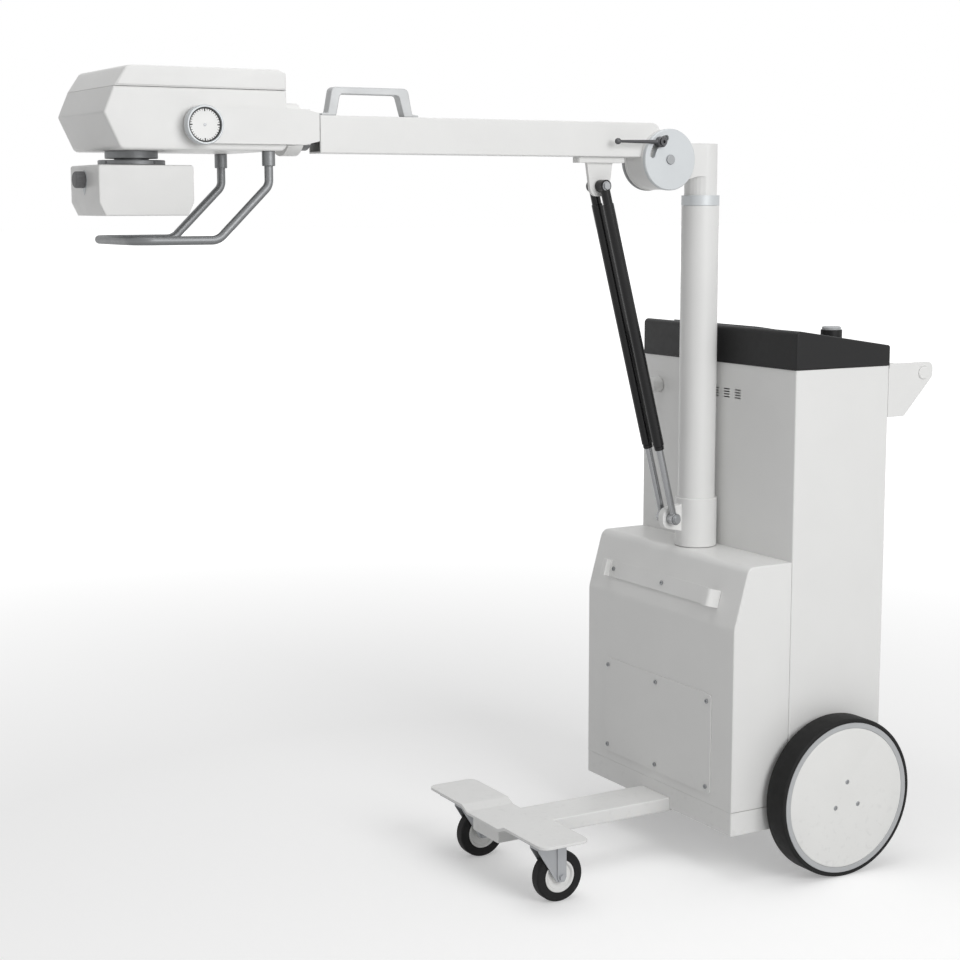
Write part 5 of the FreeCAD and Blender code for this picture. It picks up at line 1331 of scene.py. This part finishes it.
@dataclass
class SteeringLoop(SubAssembly):
    """One bent tube with two sockets that steers the tube head."""

    tube_radius: float = 0.0075
    socket_radius: float = 0.0113
    socket_length: float = 0.025
    rear_bend: float = 0.022
    knee_bend: float = 0.030
    front_bend: float = 0.035
    knee_back: float = 0.095
    rear_drop: float = 0.0578
    tube_top: float = 0.006
    socket_edge: float = 0.001

    def build(self) -> list[bpy.types.Object]:
        """Bend the tube through its corners and set its sockets."""
        low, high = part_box("steering_loop")
        half, rear = high.x - self.socket_radius, high.y - self.socket_radius
        front, level, top = low.y + self.tube_radius, low.z + self.tube_radius, high.z
        near_half = [
            (half, rear, top - self.tube_top), (half, rear, top - self.rear_drop),
            (half, rear - self.knee_back, level), (half, front, level)]
        route = near_half + [(-x, y, z) for x, y, z in reversed(near_half)]
        bends = [0.0, self.rear_bend, self.knee_bend, self.front_bend]
        tube = bent_tube().grow(
            "steering_loop_tube", ALUMINIUM, "tube_head", Matrix.Identity(4), ("steering_loop",), points=route,
            bends=bends + bends[::-1], smooth=50.0, Tube_Radius=self.tube_radius, Steps=14, Sides=40)
        cups = bmesh.new()
        radius, length, edge = self.socket_radius, self.socket_length, self.socket_edge
        for side in Side:
            seat = facing(Axis.Z, -1.0, (half * side.value, rear, top))
            spin(cups, seat, [
                (0.0, 0.0), (0.0, radius - 0.0006), (0.0006, radius), (length - edge, radius),
                (length, radius - edge), (length, self.tube_radius + THIN_EDGE),
                (length - edge, self.tube_radius), (length - edge, 0.0)], 56)
        return [tube, Piece("steering_loop_sockets", cups).dress(ALUMINIUM, "tube_head", "steering_loop")]


@dataclass
class Collimator(SubAssembly):
    """Turning collimator box with its flange, window, scale plate and field knob."""

    case_edge: float = 0.0007
    knob_radius: float = 0.014
    knob_gap: float = 0.0004
    knob_brow: float = 0.0035
    plate_radius: float = 0.0158
    plate_drop: float = 0.026
    plate_rise: float = 0.0008
    plate_steps: int = 40
    flutes: float = 24.0
    flute_depth: float = 0.0006
    set_screws: int = 4
    set_screw_radius: float = 0.0024
    set_screw_height: float = 0.0008
    set_screw_recess: float = 0.0012
    set_screw_mouth: float = 0.6
    set_screw_sink: float = 0.0003
    set_screw_level: float = 0.0045
    set_screw_turn: float = 0.25

    def build(self) -> list[bpy.types.Object]:
        """Build the box and what is fixed to it."""
        return [
            refined("collimator_case", self.case_edge, segments=3),
            refined("collimator_flange", THIN_EDGE, ALUMINIUM.about(Axis.Z, "collimator_flange")),
            refined("exit_window", 0.0),
            self.scale_plate(),
            self.knob(),
            *self.set_screw_heads(),
        ]

    def knob_seat(self) -> Vector:
        """Return the knob's centre on the box's front face."""
        centre = middle("collimator_knob")
        return Vector((centre.x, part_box("collimator_case")[0].y, centre.z))

    def scale_plate(self) -> bpy.types.Object:
        """Lay the drop-shaped plate whose point shows the field size."""
        reach = math.acos(self.plate_radius / self.plate_drop)
        start, stop = -math.pi / 2 + reach, 3 * math.pi / 2 - reach
        outline = [
            (self.plate_radius * math.cos(turn), self.plate_radius * math.sin(turn))
            for turn in (start + (stop - start) * k / self.plate_steps for k in range(self.plate_steps + 1))]
        outline.append((0.0, -self.plate_drop))
        place = Matrix.Translation(self.knob_seat()) @ upright(Vector((0.0, -1.0, 0.0)))
        shape = bmesh.new()
        raise_outline(shape, place, outline, -THIN_EDGE, self.plate_rise, THIN_EDGE)
        return Piece("knob_scale_plate", shape, 20.0).dress(PALE_ALUMINIUM, "collimator")

    def knob(self) -> bpy.types.Object:
        """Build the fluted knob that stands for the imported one."""
        centre = self.knob_seat()
        start = centre.y - self.plate_rise - self.knob_gap
        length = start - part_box("collimator_knob")[0].y
        place = facing(Axis.Y, -1.0, (centre.x, start - length / 2, centre.z))
        return fluted_grip().grow(
            "collimator_knob_skin", GRIP_PLASTIC, "knob", place, ("collimator_knob",), Flutes=self.flutes,
            Radius=self.knob_radius, Length=length, Depth=self.flute_depth, Brow=self.knob_brow)

    def set_screw_heads(self) -> list[bpy.types.Object]:
        """Set small dark screws round the turning flange's edge."""
        low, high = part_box("collimator_flange")
        centre = middle("collimator_flange")
        radius = (high.x - low.x) / 2
        made = []
        for index in range(self.set_screws):
            turn = 2 * math.pi * (index + self.set_screw_turn) / self.set_screws
            out = Vector((math.cos(turn), math.sin(turn), 0.0))
            seat = centre + out * (radius - self.set_screw_sink)
            seat.z = low.z + self.set_screw_level
            place = Matrix.Translation(seat) @ out.to_track_quat("Z", "Y").to_matrix().to_4x4()
            made.append(heads_at_points().grow(
                f"flange_screw_{index + 1}", DARK_STEEL, "collimator", place, points=[(0.0, 0.0, 0.0)],
                Radius=self.set_screw_radius, Height=self.set_screw_height, Recess=self.set_screw_recess,
                Mouth=self.set_screw_mouth))
        return made


@dataclass
class Studio:
    """Floor, lamps, world and camera."""

    azimuth: float = 60.3167
    pitch: float = 8.2515
    roll: float = -0.1052
    focal_pixels: float = 1904.41
    frame_pixels: float = 960.0
    sensor_mm: float = 36.0
    camera_side: float = 3.1617
    camera_ahead: float = 2.22266
    camera_height: float = 1.34049
    sky: float = 0.36
    floor_colour: float = 0.8
    near_lift: float = 0.30
    floor_half: float = 90.0
    lift_near: float = 1.2
    lift_far: float = 6.0
    key_place: tuple[float, float, float] = (3.8, 0.45, 2.3)
    key_aim: tuple[float, float, float] = (0.0, 0.0, 0.9)
    key_size: float = 2.2
    key_watts: float = 78.0
    top_place: tuple[float, float, float] = (0.2, -0.2, 4.2)
    top_aim: tuple[float, float, float] = (0.0, 0.0, 0.6)
    top_size: float = 3.0
    top_watts: float = 40.0

    def camera(self) -> None:
        """Place the camera where the photograph was taken from."""
        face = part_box("front_cover")[0].y
        turn, down, tilt = (math.radians(a) for a in (self.azimuth, self.pitch, self.roll))
        ahead = Vector((-math.sin(turn) * math.cos(down), math.cos(turn) * math.cos(down), -math.sin(down)))
        right = Vector((math.cos(turn), math.sin(turn), 0.0))
        up = right.cross(ahead)
        across = right * math.cos(tilt) + up * math.sin(tilt)
        rise = up * math.cos(tilt) - right * math.sin(tilt)
        lens = bpy.data.cameras.new("camera")
        lens.sensor_width = self.sensor_mm
        lens.lens = self.focal_pixels / self.frame_pixels * self.sensor_mm
        lens.clip_end = 200.0
        item = bpy.data.objects.new("camera", lens)
        bpy.context.scene.collection.objects.link(item)
        place = Matrix((across, rise, -ahead)).transposed().to_4x4()
        place.translation = Vector((self.camera_side, face - self.camera_ahead, self.camera_height))
        item.matrix_world = place
        bpy.context.scene.camera = item

    def lamp(self, name: str, place: Sequence[float], aim: Sequence[float], size: float, watts: float) -> None:
        """Add one soft square lamp.

        Args:
            name: Name of the lamp.
            place: Its position in metres.
            aim: Point that it faces.
            size: Side length in metres.
            watts: Its power.
        """
        light = bpy.data.lights.new(name, "AREA")
        light.size = size
        light.energy = watts
        item = bpy.data.objects.new(name, light)
        item.location = place
        item.rotation_euler = (Vector(aim) - Vector(place)).to_track_quat("-Z", "Y").to_euler()
        bpy.context.scene.collection.objects.link(item)

    def plain_rays(self, nodes: bpy.types.Nodes, links: bpy.types.NodeLinks) -> bpy.types.NodeSocket:
        """Return a socket that is 1 for what the camera, metal and glass see, and 0 for light."""
        path = nodes.new("ShaderNodeLightPath")
        seen = path.outputs["Is Camera Ray"]
        for name in ("Is Glossy Ray", "Is Transmission Ray"):
            either = nodes.new("ShaderNodeMath")
            either.operation = "MAXIMUM"
            links.new(seen, either.inputs[0])
            links.new(path.outputs[name], either.inputs[1])
            seen = either.outputs["Value"]
        return seen

    def floor(self) -> None:
        """Lay a wide pale floor that keeps the shadow and reads white to the camera."""
        shape = bmesh.new()
        bmesh.ops.create_grid(shape, x_segments=1, y_segments=1, size=self.floor_half)
        mesh = bpy.data.meshes.new("floor")
        shape.to_mesh(mesh)
        shape.free()
        item = bpy.data.objects.new("floor", mesh)
        bpy.context.scene.collection.objects.link(item)
        made = bpy.data.materials.new("studio_floor")
        made.use_nodes = True
        nodes, links = made.node_tree.nodes, made.node_tree.links
        shader = nodes["Principled BSDF"]
        shader.inputs["Base Color"].default_value = (self.floor_colour,) * 3 + (1.0,)
        shader.inputs["Roughness"].default_value = 0.9
        shader.inputs["Specular IOR Level"].default_value = 0.0
        shader.inputs["Emission Color"].default_value = (1.0, 1.0, 1.0, 1.0)
        place = nodes.new("ShaderNodeTexCoord")
        away = nodes.new("ShaderNodeVectorMath")
        away.operation = "LENGTH"
        links.new(place.outputs["Object"], away.inputs[0])
        rise = nodes.new("ShaderNodeMapRange")
        rise.inputs["From Min"].default_value = self.lift_near
        rise.inputs["From Max"].default_value = self.lift_far
        rise.inputs["To Min"].default_value = self.near_lift
        rise.inputs["To Max"].default_value = 1.0
        links.new(away.outputs["Value"], rise.inputs["Value"])
        lift = nodes.new("ShaderNodeMath")
        lift.operation = "MULTIPLY"
        links.new(self.plain_rays(nodes, links), lift.inputs[0])
        links.new(rise.outputs["Result"], lift.inputs[1])
        links.new(lift.outputs["Value"], shader.inputs["Emission Strength"])
        mesh.materials.append(made)

    def world(self) -> None:
        """Light everything evenly, and show white to the camera and to glossy surfaces."""
        made = bpy.data.worlds.new("studio")
        bpy.context.scene.world = made
        made.use_nodes = True
        nodes, links = made.node_tree.nodes, made.node_tree.links
        back = nodes["Background"]
        back.inputs["Color"].default_value = (1.0, 1.0, 1.0, 1.0)
        spread = nodes.new("ShaderNodeMapRange")
        spread.inputs["To Min"].default_value = self.sky
        spread.inputs["To Max"].default_value = 1.0
        links.new(self.plain_rays(nodes, links), spread.inputs["Value"])
        links.new(spread.outputs["Result"], back.inputs["Strength"])

    def build(self) -> None:
        """Set up the whole studio."""
        self.camera()
        self.floor()
        self.world()
        self.lamp("key_lamp", self.key_place, self.key_aim, self.key_size, self.key_watts)
        self.lamp("top_lamp", self.top_place, self.top_aim, self.top_size, self.top_watts)
        bpy.context.scene.view_settings.view_transform = "Standard"


def main() -> None:
    """Build the machine and its studio."""
    logging.basicConfig(level=logging.INFO, format="%(message)s")
    for part in (
        Base(), FrontCasters(), RearWheels(), Cabinet(), Console(), Column(), LiftArm(), GasSprings(), Yoke(),
        TubeHead(), SteeringLoop(), Collimator(),
    ):
        made = part.build()
        log.info("%s: %d pieces", type(part).__name__, len(made))
    Studio().build()


if __name__ == "__main__":
    main()
